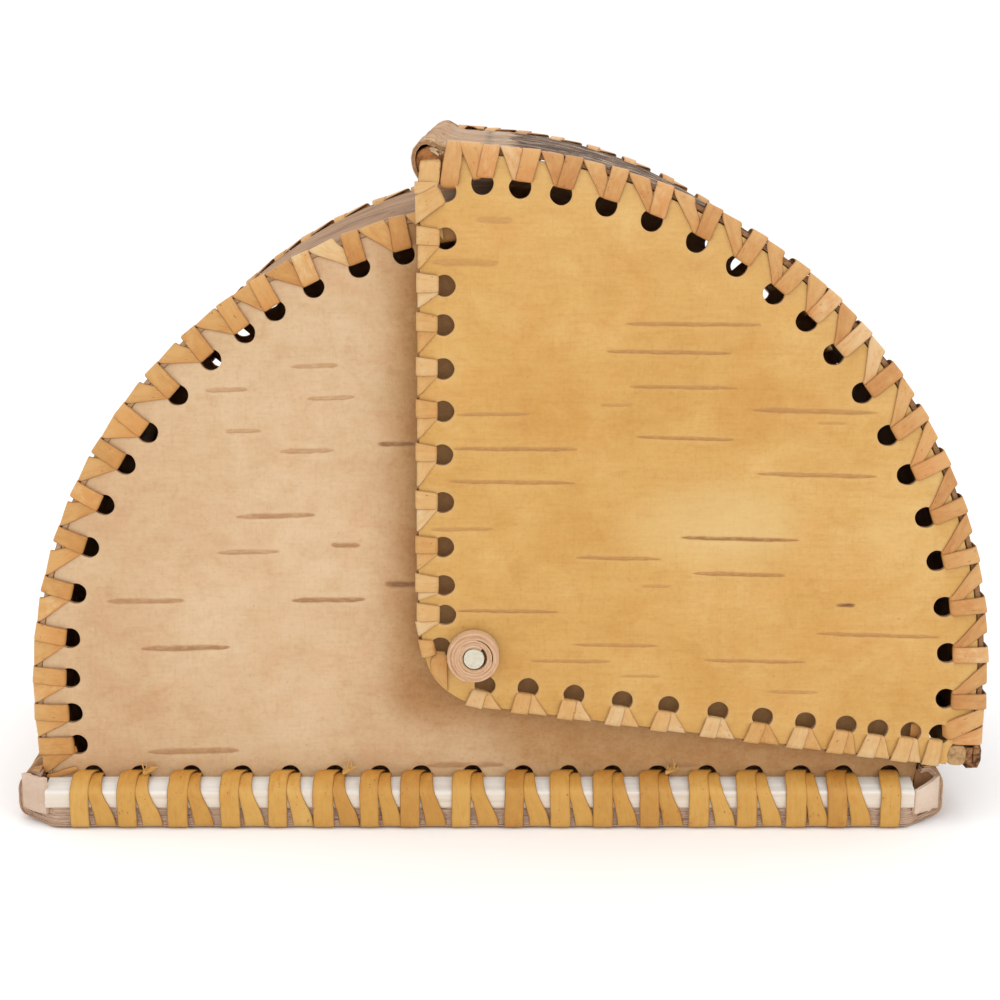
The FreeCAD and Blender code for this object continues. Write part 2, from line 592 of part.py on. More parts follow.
r1 = bark_roll(-COVER_Y - 6.0, -COVER_Y - 1.1)
r2 = bark_roll(-SHELL_Y + BARK + 0.3, -SHELL_Y + BARK + 6.0)
export("outer_roll_front", r1)
export("outer_roll_back", mirror_y(r1))
export("inner_roll_front", r2)
export("inner_roll_back", mirror_y(r2))

print("roll centres", arch_roll_c, c_top, c_bot, "corners", TL, BR, "fillet", FC)
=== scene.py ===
import bpy, math, random
import numpy as np
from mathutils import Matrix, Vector, noise
from mathutils.geometry import delaunay_2d_cdt


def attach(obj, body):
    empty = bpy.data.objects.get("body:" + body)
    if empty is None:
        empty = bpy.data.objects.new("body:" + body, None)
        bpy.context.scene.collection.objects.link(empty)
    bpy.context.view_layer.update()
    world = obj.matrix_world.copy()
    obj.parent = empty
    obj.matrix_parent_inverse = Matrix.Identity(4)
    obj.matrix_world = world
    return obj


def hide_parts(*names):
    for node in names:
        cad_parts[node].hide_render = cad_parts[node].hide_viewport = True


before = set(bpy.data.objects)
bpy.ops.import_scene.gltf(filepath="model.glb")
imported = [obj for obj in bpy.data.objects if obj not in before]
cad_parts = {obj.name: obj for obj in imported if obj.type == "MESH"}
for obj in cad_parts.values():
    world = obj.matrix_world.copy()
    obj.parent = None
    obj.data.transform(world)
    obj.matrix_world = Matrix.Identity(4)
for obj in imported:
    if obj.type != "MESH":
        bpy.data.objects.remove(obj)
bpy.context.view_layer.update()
random.seed(4)

# Half-round birch bark box with a quarter-round cover. Lengths below are in
# millimetres in the part's own frame; meshes are written in metres.

# ------------------------------------------------------------------ the part's numbers
BARK, BAND, FLOOR_T, GAP = 2.0, 1.8, 2.3, 0.05
HOLE_R, BAND_HOLE_R, BAND_HOLE_IN = 3.3, 3.0, 8.0
SHELL_Y, COVER_Y, SLAT_Y = 75.0, 80.0, 83.0
PIVOT = (-1.85, 57.3)
PEG_R, ROLL_R, HINGE_CLEAR = 3.9, 8.25, 0.07
FL = (16.45, 39.2)
FL_R, SYM_X, TAN_A = 154.4, 1.1, 102.66
CR_D = (FL[0] - SYM_X) / -math.cos(math.radians(TAN_A))
CR = (SYM_X, FL[1] + CR_D * math.sin(math.radians(TAN_A)))
CR_R = FL_R - CR_D
FLOOR_TOP, SLAT_TOP = 6.9, 16.95
SLAT_X0, SLAT_X1 = -137.1, 136.7
CURL_X, CURL_TOP_L, CURL_TOP_R = 147.4, 17.6, 19.3
CC, CC_R = (-7.15, 47.8), 162.2
CB_Z0, CB_SLOPE, CL_X0, CL_SLOPE, FIL_R = 38.9, -0.1325, -19.4, 0.0137, 24.0
ARCH_HOLES = [(-9.2, 182.6), (-22.5, 180.2), (-35.9, 176.3), (-49.7, 170.3), (-61.5, 163.3),
              (-70.8, 156.6), (-81.3, 148.4), (-91.7, 137.6), (-101.3, 126.0), (-108.6, 116.1),
              (-115.7, 103.3), (-121.1, 89.8), (-125.8, 75.0), (-128.5, 60.4), (-129.2, 47.3),
              (-129.0, 35.7), (-127.9, 25.1)]
COVER_ARC_HOLES = [(145.5, 42.4), (145.1, 57.3), (143.3, 72.2), (140.3, 86.9), (136.1, 100.6),
                   (129.9, 114.0), (123.4, 126.1), (115.1, 139.1), (106.1, 150.8), (97.5, 160.8),
                   (87.5, 169.0), (76.2, 177.2), (64.2, 184.3), (50.8, 190.5), (37.4, 194.9),
                   (24.1, 198.2), (12.1, 200.1), (1.0, 201.2), (-9.9, 199.0)]
COVER_LEFT_HOLES = [(-9.9, 185.2), (-10.3, 171.3), (-10.7, 159.6), (-10.8, 146.4), (-10.9, 133.5),
                    (-11.3, 120.1), (-11.1, 105.3), (-11.2, 91.3), (-11.0, 79.1), (-10.7, 69.6),
                    (-12.3, 59.1)]
COVER_BOTTOM_HOLES = [(1.45, 46.7), (14.9, 45.8), (29.3, 43.6), (44.4, 41.6), (58.9, 39.9),
                      (74.4, 38.0), (88.4, 36.1), (101.9, 34.6), (114.7, 33.5), (124.7, 32.2),
                      (135.1, 31.3), (144.1, 30.6)]
BASE_STRIPS = [-126.4, -111.7, -95.3, -79.1, -63.7, -49.6, -35.2, -22.1, -5.8, 10.6, 25.0,
               38.7, 53.0, 69.0, 83.8, 99.5, 112.4, 129.1]
BASE_HOLES = [-123.2, -108.3, -92.0, -75.9, -60.6, -46.4, -32.0, -18.9, -2.6, 13.6, 28.0,
              41.9, 56.4, 72.0, 86.9, 102.0, 115.4, 130.0]
BASE_HOLE_Z = 14.9


# ------------------------------------------------------------------ node material helper
KB = 0.765    # measured bark colours to surface colours, under this light


def lin(r, g, b, k=None):
    k = KB if k is None else k

    def f(c):
        c = c / 255.0
        return (c / 12.92 if c <= 0.04045 else ((c + 0.055) / 1.055) ** 2.4)
    return (f(r) * k, f(g) * k, f(b) * k, 1.0)


class Mat:
    def __init__(self, name, rough=0.6, spec=0.3):
        self.m = bpy.data.materials.new(name)
        self.m.use_nodes = True
        self.t = self.m.node_tree
        self.t.nodes.clear()
        self.out = self.t.nodes.new("ShaderNodeOutputMaterial")
        self.b = self.t.nodes.new("ShaderNodeBsdfPrincipled")
        self.b.inputs["Roughness"].default_value = rough
        self.b.inputs["Specular IOR Level"].default_value = spec
        self.t.links.new(self.b.outputs[0], self.out.inputs[0])
        self.obj = self.t.nodes.new("ShaderNodeTexCoord").outputs["Object"]

    def new(self, kind, **kw):
        n = self.t.nodes.new(kind)
        for k, v in kw.items():
            setattr(n, k, v)
        return n

    def put(self, socket, value):
        if isinstance(value, bpy.types.NodeSocket):
            self.t.links.new(value, socket)
        else:
            socket.default_value = value

    def attr(self, name, out="Fac"):
        n = self.new("ShaderNodeAttribute", attribute_type="GEOMETRY", attribute_name=name)
        return n.outputs[out]

    def scaled(self, vec, s, off=(0, 0, 0)):
        n = self.new("ShaderNodeMapping")
        self.put(n.inputs["Vector"], vec)
        n.inputs["Scale"].default_value = s
        n.inputs["Location"].default_value = off
        return n.outputs[0]

    def noise(self, vec, scale=1.0, detail=4.0, rough=0.55, dist=0.0):
        n = self.new("ShaderNodeTexNoise")
        self.put(n.inputs["Vector"], vec)
        n.inputs["Scale"].default_value = scale
        n.inputs["Detail"].default_value = detail
        n.inputs["Roughness"].default_value = rough
        n.inputs["Distortion"].default_value = dist
        return n.outputs["Fac"]

    def voro(self, vec, scale, feature="F1"):
        n = self.new("ShaderNodeTexVoronoi", feature=feature)
        self.put(n.inputs["Vector"], vec)
        n.inputs["Scale"].default_value = scale
        return n.outputs["Distance"]

    def ramp(self, fac, stops, interp="LINEAR"):
        n = self.new("ShaderNodeValToRGB")
        self.put(n.inputs[0], fac)
        n.color_ramp.interpolation = interp
        e = n.color_ramp.elements
        while len(e) < len(stops):
            e.new(0.5)
        for i, (p, c) in enumerate(stops):
            e[i].position = p
            e[i].color = c if len(c) == 4 else (*c, 1.0)
        return n.outputs[0]

    def step(self, fac, a, b, lo=0.0, hi=1.0):
        n = self.new("ShaderNodeMapRange", interpolation_type="SMOOTHSTEP")
        self.put(n.inputs["Value"], fac)
        n.inputs["From Min"].default_value = a
        n.inputs["From Max"].default_value = b
        n.inputs["To Min"].default_value = lo
        n.inputs["To Max"].default_value = hi
        return n.outputs["Result"]

    def math(self, op, a, b=0.0):
        n = self.new("ShaderNodeMath", operation=op)
        self.put(n.inputs[0], a)
        self.put(n.inputs[1], b)
        return n.outputs[0]

    def mix(self, fac, a, b, blend="MIX"):
        n = self.new("ShaderNodeMix", data_type="RGBA", blend_type=blend)
        self.put(n.inputs["Factor"], fac)
        self.put(n.inputs["A"], a)
        self.put(n.inputs["B"], b)
        return n.outputs["Result"]

    def sep(self, vec):
        n = self.new("ShaderNodeSeparateXYZ")
        self.put(n.inputs[0], vec)
        return n.outputs

    def bump(self, height, strength=0.3, dist=0.0004, chain=None):
        n = self.new("ShaderNodeBump")
        self.put(n.inputs["Height"], height)
        n.inputs["Strength"].default_value = strength
        n.inputs["Distance"].default_value = dist
        if chain is not None:
            self.put(n.inputs["Normal"], chain)
        return n.outputs[0]

    def done(self, colour, normal=None, rough=None):
        self.put(self.b.inputs["Base Color"], colour)
        if normal is not None:
            self.put(self.b.inputs["Normal"], normal)
        if rough is not None:
            self.put(self.b.inputs["Roughness"], rough)
        return self.m


def bark_sheet(name, low, mid, high, lent, lent_dark, striate=0.35, speck=0.5, seed=0.0, rough=0.62,
               pale=None, shade=None):
    """Peeled inner side of birch bark: fine striation across the trunk's height, mottling,
    lenticels from the mesh attribute, faint specks."""
    m = Mat(name, rough, 0.28)
    v = m.scaled(m.obj, (1, 1, 1), (seed, seed * 0.7, seed * 1.3))
    big = m.noise(m.scaled(v, (11, 11, 13)), 1.0, 3.0, 0.6)
    medium = m.noise(m.scaled(v, (48, 48, 56)), 1.0, 5.0, 0.6, 0.6)
    fine = m.noise(m.scaled(v, (130, 130, 1100)), 1.0, 5.0, 0.7)
    fine2 = m.noise(m.scaled(v, (420, 420, 2600)), 1.0, 3.0, 0.6)
    vert = m.noise(m.scaled(v, (1500, 1500, 150)), 1.0, 3.0, 0.6)
    grain = m.noise(m.scaled(v, (820, 820, 900)), 1.0, 4.0, 0.65)
    f = m.math("ADD", m.math("MULTIPLY", big, 0.5), m.math("MULTIPLY", medium, 0.5))
    c = m.ramp(f, [(0.37, low), (0.5, mid), (0.63, high)])
    pink = m.noise(m.scaled(v, (34, 34, 44), (5, 2, 8)), 1.0, 4.0, 0.65, 0.5)
    c = m.mix(m.math("MULTIPLY", m.step(pink, 0.50, 0.66), 0.30), c, m.mix(1.0, c, lin(255, 236, 226, 1), "MULTIPLY"))
    c = m.mix(m.math("MULTIPLY", m.step(fine, 0.40, 0.72), striate * 0.55), c,
              m.mix(1.0, c, lin(230, 206, 172, 1), "MULTIPLY"))
    c = m.mix(m.math("MULTIPLY", m.step(fine2, 0.5, 0.8), striate * 0.3), c,
              m.mix(1.0, c, lin(110, 96, 74, 1), "SCREEN"), "MIX")
    c = m.mix(m.math("MULTIPLY", m.step(vert, 0.50, 0.80), 0.20), c, m.mix(1.0, c, lin(228, 202, 168, 1), "MULTIPLY"))
    c = m.mix(m.math("MULTIPLY", m.step(grain, 0.46, 0.74), 0.22), c, m.mix(1.0, c, lin(226, 200, 166, 1), "MULTIPLY"))
    c = m.mix(m.math("MULTIPLY", m.step(grain, 0.46, 0.26), 0.14), c, m.mix(1.0, c, lin(110, 98, 80, 1), "SCREEN"))
    cloud = m.noise(m.scaled(v, (120, 120, 150), (2, 9, 4)), 1.0, 4.0, 0.6, 0.4)
    c = m.mix(m.math("MULTIPLY", m.step(cloud, 0.48, 0.70), 0.18), c, m.mix(1.0, c, lin(226, 198, 164, 1), "MULTIPLY"))
    # small dashes: lenticels too small to be modelled
    dash = m.noise(m.scaled(v, (150, 150, 620), (3.1, 0.2, 7.7)), 1.0, 2.0, 0.45)
    c = m.mix(m.math("MULTIPLY", m.step(dash, 0.70, 0.76), 0.42 * speck), c, lent)
    dots = m.noise(m.scaled(v, (520, 520, 640), (1.1, 4.2, 0.7)), 1.0, 2.0, 0.5)
    c = m.mix(m.math("MULTIPLY", m.step(dots, 0.735, 0.78), 0.5 * speck), c, lent_dark)
    if pale is not None:      # painted highlight, a broad pale glossy patch: centre (x, z) and radii in metres
        s = m.sep(m.obj)
        dx = m.math("DIVIDE", m.math("SUBTRACT", s[0], pale[0]), pale[2])
        dz = m.math("DIVIDE", m.math("SUBTRACT", s[2], pale[1]), pale[3])
        r = m.math("ADD", m.math("POWER", m.math("ABSOLUTE", dx), 2.0), m.math("POWER", m.math("ABSOLUTE", dz), 2.0))
        r = m.math("ADD", r, m.math("MULTIPLY", m.math("SUBTRACT", medium, 0.5), 1.8))
        c = m.mix(m.math("MULTIPLY", m.step(r, 1.25, 0.0), 0.3), c, pale[4])
    # painted shade: darkens towards the shade colour where the 'shade' attribute is set, broken up by the cloud and
    # grain noises
    if shade is not None:
        sh = m.math("MULTIPLY", m.attr("shade"), m.math("ADD", 0.62, m.math("MULTIPLY", m.math("ADD", cloud, grain), 0.38)))
        c = m.mix(m.math("MULTIPLY", sh, shade[0]), c, m.mix(1.0, c, shade[1], "MULTIPLY"))
    le, ld = m.attr("lent"), m.attr("ldark")
    rag = m.step(m.noise(m.scaled(v, (420, 420, 1500)), 1.0, 3.0, 0.6), 0.3, 0.62, 0.55, 1.0)
    c = m.mix(m.math("MULTIPLY", le, rag), c, lent)
    c = m.mix(m.math("MULTIPLY", ld, rag), c, lent_dark)
    wear = m.attr("wear")
    c = m.mix(m.math("MULTIPLY", wear, 0.30), c, m.mix(1.0, c, lin(140, 122, 96, 1), "SCREEN"))
    h = m.math("ADD", m.math("MULTIPLY", fine, 0.35), m.math("ADD", m.math("MULTIPLY", grain, 0.45),
                                                            m.math("MULTIPLY", medium, 0.4)))
    nrm = m.bump(h, 0.35, 0.0003)
    return m.done(c, nrm, m.step(medium, 0.3, 0.7, rough - 0.07, rough + 0.08))


def blend(a, b, k):
    return tuple(p * (1 - k) + q * k for p, q in zip(a[:3], b[:3])) + (1.0,)


def bark_outer(name, cols, black, amount, seed=0.0):
    """Weathered outer side of bark: runs of fine lines along the band ('gr' attribute), flaking scales."""
    m = Mat(name, 0.78, 0.15)
    g = m.attr("gr", "Vector")                     # metres along, metres across, 0
    v = m.scaled(g, (1, 1, 1), (seed, seed, seed))
    big = m.noise(m.scaled(v, (22, 30, 1)), 1.0, 4.0, 0.6)
    lines = m.noise(m.scaled(v, (26, 520, 1)), 1.0, 4.0, 0.65)
    lines2 = m.noise(m.scaled(v, (90, 330, 1)), 1.0, 5.0, 0.7, 0.5)
    c = m.ramp(m.math("ADD", m.math("MULTIPLY", big, 0.6), m.math("MULTIPLY", lines2, 0.4)),
               [(0.36, cols[0]), (0.5, cols[1]), (0.66, cols[2])])
    c = m.mix(m.math("MULTIPLY", m.step(lines, 0.45, 0.7), 0.5), c, m.mix(1.0, c, lin(150, 124, 104, 1), "MULTIPLY"))
    sc = m.noise(m.scaled(v, (44, 125, 1), (2.0, 5.0, 0)), 1.0, 7.0, 0.68, 1.2)
    d = m.attr("scale")
    k = m.step(m.math("ADD", sc, m.math("MULTIPLY", m.math("SUBTRACT", d, 0.5), 0.5)), 0.52, 0.57)
    crust = m.ramp(m.math("ADD", m.math("MULTIPLY", lines2, 0.6), m.math("MULTIPLY", sc, 0.4)),
                   [(0.43, black), (0.51, blend(black, cols[0], 0.24)), (0.58, blend(black, cols[0], 0.6)),
                    (0.67, blend(black, cols[1], 0.85))])
    c = m.mix(m.math("MULTIPLY", k, amount), c, crust)
    pl = m.step(m.noise(m.scaled(v, (36, 155, 1), (7.0, 1.0, 0)), 1.0, 5.0, 0.62), 0.58, 0.63)
    c = m.mix(m.math("MULTIPLY", pl, 0.55 * amount), c, lin(212, 190, 168))
    pk = m.attr("pink")
    c = m.mix(pk, c, m.ramp(lines2, [(0.3, lin(178, 136, 100)), (0.55, lin(208, 168, 130)), (0.8, lin(222, 188, 152))]))
    le = m.attr("lent")
    c = m.mix(m.math("MULTIPLY", le, 0.75), c, lin(64, 44, 32))
    h = m.math("ADD", m.math("MULTIPLY", lines, 0.5), m.math("SUBTRACT", m.math("MULTIPLY", lines2, 0.8),
                                                            m.math("MULTIPLY", k, 0.5 * amount)))
    return m.done(c, m.bump(h, 0.6, 0.0006))


def lace_mat(name, stops, seed=0.0, edge=0.5, rough=0.5):
    """Split bark strip: fibres along its length, a tone of its own, darker edges: partly the cut edges' own colour,
    partly painted shade of a rounded strip and painted shadow lines along its sides.
    """
    m = Mat(name, rough, 0.35)
    g = m.attr("gr", "Vector")                     # metres along, 0..1 across, tone
    s = m.sep(g)
    v = m.scaled(g, (1, 1, 1), (seed, 0, seed))
    fib = m.noise(m.scaled(v, (150, 9, 37)), 1.0, 5.0, 0.7)
    fib2 = m.noise(m.scaled(v, (60, 30, 61)), 1.0, 3.0, 0.6)
    blot = m.noise(m.scaled(v, (260, 2.4, 53)), 1.0, 5.0, 0.65)
    tone = m.math("ADD", s[2], m.math("MULTIPLY", m.math("SUBTRACT", blot, 0.5), 0.75))
    c = m.ramp(tone, stops)
    c = m.mix(m.math("MULTIPLY", m.step(fib, 0.46, 0.75), 0.28), c, m.mix(1.0, c, lin(214, 180, 136, 1), "MULTIPLY"))
    c = m.mix(m.math("MULTIPLY", m.step(fib2, 0.55, 0.8), 0.20), c, m.mix(1.0, c, lin(226, 196, 150, 1), "MULTIPLY"))
    org = m.noise(m.scaled(v, (180, 2.0, 29), (4, 1, 2)), 1.0, 4.0, 0.6)
    c = m.mix(m.math("MULTIPLY", m.step(org, 0.54, 0.68), 0.32), c, m.mix(1.0, c, lin(250, 214, 172, 1), "MULTIPLY"))
    grey = m.noise(m.scaled(v, (240, 2.6, 31), (8, 3, 2)), 1.0, 4.0, 0.6)
    c = m.mix(m.math("MULTIPLY", m.step(grey, 0.56, 0.70), 0.22), c, m.mix(1.0, c, lin(226, 222, 214, 1), "MULTIPLY"))
    near = m.math("ADD", s[0], m.math("MULTIPLY", m.math("SUBTRACT", blot, 0.5), 0.008))
    c = m.mix(m.step(near, 0.0045, 0.0125, 0.42, 0.0), c, m.mix(1.0, c, lin(238, 204, 150, 1), "MULTIPLY"))
    # darker edges: a soft band of painted shade for the strip's rounded profile, then a thin dark line that is partly
    # the cut edge and partly a painted shadow line
    e = m.math("ABSOLUTE", m.math("SUBTRACT", s[1], 0.5))
    c = m.mix(m.math("MULTIPLY", m.step(e, 0.34, 0.5), 0.16), c, m.mix(1.0, c, lin(190, 146, 100, 1), "MULTIPLY"))
    c = m.mix(m.math("MULTIPLY", m.step(e, 0.44, 0.5), edge), c, m.mix(1.0, c, lin(150, 104, 66, 1), "MULTIPLY"))
    fleck = m.noise(m.scaled(v, (700, 6, 41)), 1.0, 2.0, 0.5)
    c = m.mix(m.math("MULTIPLY", m.step(fleck, 0.68, 0.74), 0.6), c, lin(128, 78, 40))
    h = m.math("ADD", m.math("MULTIPLY", fib, 0.7), m.math("MULTIPLY", fib2, 0.5))
    return m.done(c, m.bump(h, 0.4, 0.00025), m.step(blot, 0.3, 0.7, rough - 0.06, rough + 0.12))


def layered(name, a, b, dark, seed=0.0):
    """Cut edge and torn faces of many-layered bark: thin parallel layers, pits."""
    m = Mat(name, 0.85, 0.1)
    v = m.scaled(m.obj, (1, 1, 1), (seed, seed, seed))
    lay = m.noise(m.scaled(v, (45, 45, 2600)), 1.0, 4.0, 0.7, 0.3)
    mot = m.noise(m.scaled(v, (260, 260, 420)), 1.0, 5.0, 0.65)
    c = m.ramp(m.math("ADD", m.math("MULTIPLY", lay, 0.6), m.math("MULTIPLY", mot, 0.4)), [(0.36, a), (0.62, b)])
    c = m.mix(m.math("MULTIPLY", m.step(mot, 0.60, 0.72), 0.55), c, dark)
    c = m.mix(m.math("MULTIPLY", m.step(lay, 0.60, 0.66), 0.45), c, dark)
    return m.done(c, m.bump(m.math("ADD", lay, mot), 0.8, 0.0006))


def peeled(name, a, b, c_, axis=0, seed=0.0, rough=0.66, painted_lower_shade=None):
    """Peeled wood: long fibres along one axis."""
    m = Mat(name, rough, 0.3)
    v = m.scaled(m.obj, (1, 1, 1), (seed, seed, seed))
    s = [900, 900, 900]
    s[axis] = 22
    fib = m.noise(m.scaled(v, tuple(s)), 1.0, 5.0, 0.65)
    s2 = [240, 240, 240]
    s2[axis] = 9
    fib2 = m.noise(m.scaled(v, tuple(s2)), 1.0, 4.0, 0.6)
    c = m.ramp(m.math("ADD", m.math("MULTIPLY", fib, 0.5), m.math("MULTIPLY", fib2, 0.5)),
               [(0.34, a), (0.5, b), (0.66, c_)])
    s3 = [300, 300, 300]
    s3[axis] = 60
    kn = m.noise(m.scaled(v, tuple(s3), (3, 1, 4)), 1.0, 3.0, 0.6)
    c = m.mix(m.math("MULTIPLY", m.step(kn, 0.68, 0.78), 0.4), c, a)
    if painted_lower_shade is not None:     # painted shade: the slat's lower face is darker than the upper one, as under light from above
        z = m.math("ADD", m.sep(m.obj)[2], m.math("MULTIPLY", m.math("SUBTRACT", fib2, 0.5), 0.0012))
        c = m.mix(m.step(z, painted_lower_shade[0], painted_lower_shade[1], 1.0, 0.0), c, m.mix(1.0, c, painted_lower_shade[2], "MULTIPLY"))
    return m.done(c, m.bump(m.math("ADD", fib, fib2), 0.45, 0.0003))


M = {}
M["fixed"] = bark_sheet("fixed_panel_bark", lin(224, 184, 142), lin(231, 197, 156), lin(238, 208, 170),
                        lin(196, 146, 98), lin(128, 90, 58), 0.30, 0.45, 0.0, 0.66,
                        shade=(0.95, lin(208, 184, 148, 1)))
M["fixed_b"] = bark_sheet("back_panel_bark", lin(220, 178, 134), lin(229, 193, 150), lin(236, 205, 166),
                          lin(194, 142, 94), lin(126, 88, 56), 0.32, 0.55, 3.7, 0.66,
                          shade=(0.5, lin(206, 182, 148, 1)))
# both cover materials carry a painted highlight: the pale patch given by pale=(...)
M["cover"] = bark_sheet("cover_panel_bark", lin(219, 167, 88), lin(226, 177, 100), lin(234, 191, 119),
                        lin(206, 150, 88), lin(120, 78, 44), 0.42, 0.5, 1.9, 0.55,
                        pale=(0.072, 0.098, 0.030, 0.015, lin(244, 218, 160)))
M["cover_b"] = bark_sheet("cover_back_bark", lin(220, 168, 92), lin(228, 180, 106), lin(236, 194, 126),
                          lin(204, 148, 86), lin(120, 78, 44), 0.42, 0.5, 5.3, 0.55,
                          pale=(0.05, 0.13, 0.034, 0.018, lin(243, 214, 156)))
M["inside"] = bark_sheet("inner_face_bark", lin(190, 142, 98), lin(204, 158, 114), lin(216, 174, 130),
                         lin(168, 118, 74), lin(104, 70, 44), 0.3, 0.4, 8.8, 0.72)
M["band"] = bark_outer("arch_band_bark", (lin(168, 130, 98), lin(189, 151, 117), lin(205, 171, 137)),
                       lin(96, 72, 56), 0.5, 0.0)
M["cband"] = bark_outer("cover_band_bark", (lin(170, 130, 98), lin(198, 170, 142), lin(216, 198, 180)),
                        lin(38, 25, 23), 1.0, 4.4)
M["bandin"] = bark_outer("band_inner_bark", (lin(176, 128, 88), lin(194, 148, 104), lin(206, 164, 122)),
                         lin(120, 84, 56), 0.4, 9.1)
M["edge"] = layered("bark_cut_edge", lin(186, 140, 102), lin(222, 186, 148), lin(124, 84, 58), 0.0)
M["cedge"] = layered("band_cut_edge", lin(150, 104, 70), lin(196, 148, 104), lin(70, 44, 30), 2.0)
M["floor"] = layered("floor_layers", lin(200, 158, 130), lin(230, 198, 172), lin(140, 98, 74), 4.0)
M["skin"] = bark_outer("floor_skin", (lin(188, 132, 78), lin(208, 152, 94), lin(220, 170, 114)),
                       lin(76, 50, 34), 0.7, 6.2)
M["floorin"] = bark_sheet("floor_inner_face", lin(214, 184, 160), lin(228, 202, 180), lin(236, 214, 194),
                          lin(190, 146, 116), lin(140, 100, 76), 0.2, 0.5, 2.2, 0.75)
OCHRE = [(0.0, lin(204, 147, 66)), (0.35, lin(218, 164, 78)), (0.7, lin(226, 176, 91)), (1.0, lin(231, 188, 112))]
TAN = [(0.0, lin(198, 138, 74)), (0.3, lin(214, 158, 89)), (0.55, lin(224, 173, 106)),
       (0.8, lin(227, 169, 98)), (1.0, lin(235, 197, 142))]
PALE = [(0.0, lin(216, 160, 92)), (0.35, lin(228, 182, 116)), (0.7, lin(236, 198, 140)), (1.0, lin(240, 212, 168))]
CTAN = [(0.0, lin(200, 140, 82)), (0.3, lin(216, 160, 97)), (0.55, lin(227, 177, 114)),
        (0.8, lin(228, 168, 104)), (1.0, lin(235, 195, 142))]
M["ochre"] = lace_mat("lace_ochre_strip", OCHRE, 0.0, 0.5, 0.46)
M["tan"] = lace_mat("lace_tan_strip", TAN, 2.0, 0.55, 0.5)
M["ctan"] = lace_mat("lace_cover_strip", CTAN, 3.0, 0.55, 0.5)
M["pale"] = lace_mat("lace_pale_strip", PALE, 4.0, 0.5, 0.52)
# the slat's lower face carries painted shade (darker below about 11-12.5 mm)
M["slat"] = peeled("slat_wood", lin(232, 222, 208), lin(249, 244, 236), lin(254, 252, 248), 0, 0.0, 0.55,
                   (0.0112, 0.0125, lin(248, 238, 226, 1)))
M["peg"] = peeled("peg_wood", lin(206, 196, 168), lin(226, 218, 196), lin(238, 232, 214), 1, 1.0, 0.6)
M["stick"] = peeled("stick_wood", lin(150, 112, 70), lin(196, 156, 106), lin(216, 182, 136), 1, 2.0, 0.7)
M["corner"] = peeled("corner_stick_wood", lin(126, 74, 34), lin(182, 118, 62), lin(206, 150, 96), 1, 6.0, 0.75)
M["splinter"] = peeled("torn_fibres", lin(190, 150, 104), lin(226, 196, 154), lin(240, 220, 186), 1, 5.0, 0.7)
def ringed(name, a, b, pale, dark):
    """Wound layers seen end-on: thin lines following the winding ('gr' = along, radius)."""
    m = Mat(name, 0.8, 0.15)
    v = m.attr("gr", "Vector")
    n1 = m.noise(m.scaled(v, (50, 2300, 1)), 1.0, 3.0, 0.6)
    n2 = m.noise(m.scaled(v, (420, 1100, 1), (3, 1, 0)), 1.0, 5.0, 0.65)
    c = m.ramp(m.math("ADD", m.math("MULTIPLY", n1, 0.65), m.math("MULTIPLY", n2, 0.35)), [(0.38, a), (0.52, b), (0.64, pale)])
    c = m.mix(m.math("MULTIPLY", m.step(n1, 0.40, 0.34), 0.6), c, dark)
    c = m.mix(m.math("MULTIPLY", m.step(n2, 0.36, 0.28), 0.4), c, dark)
    return m.done(c, m.bump(m.math("ADD", n1, n2), 0.6, 0.0004))


M["roll"] = ringed("bark_roll_layers", lin(208, 156, 116), lin(228, 186, 148), lin(240, 210, 180), lin(160, 104, 74))
# dark brown bark: painted shade for the plates inside the curled ends
M["curl_plate_painted_shade"] = bark_sheet("curl_inner_bark_painted_shade", lin(150, 106, 68), lin(170, 124, 82), lin(188, 142, 98),
                             lin(132, 90, 56), lin(90, 60, 38), 0.5, 0.4, 6.6, 0.75)
M["rollside"] = bark_outer("bark_roll_side", (lin(206, 160, 122), lin(222, 180, 140), lin(234, 198, 162)),
                           lin(150, 104, 76), 0.35, 1.3)
def rough_bark(name):
    """Rough bark at the band's folded foot: brown lumps, dark cracks, paler broken edges."""
    m = Mat(name, 0.9, 0.1)
    v = m.scaled(m.obj, (1, 1, 1), (9, 3, 5))
    a = m.noise(m.scaled(v, (330, 330, 420)), 1.0, 5.0, 0.65, 0.8)
    b = m.noise(m.scaled(v, (900, 900, 900)), 1.0, 4.0, 0.6)
    c = m.ramp(m.math("ADD", m.math("MULTIPLY", a, 0.7), m.math("MULTIPLY", b, 0.3)),
               [(0.36, lin(36, 23, 18)), (0.46, lin(108, 72, 47)), (0.57, lin(172, 122, 80)), (0.69, lin(208, 168, 122))])
    return m.done(c, m.bump(m.math("ADD", a, b), 0.9, 0.0010))


M["roughbark"] = rough_bark("rough_outer_bark")


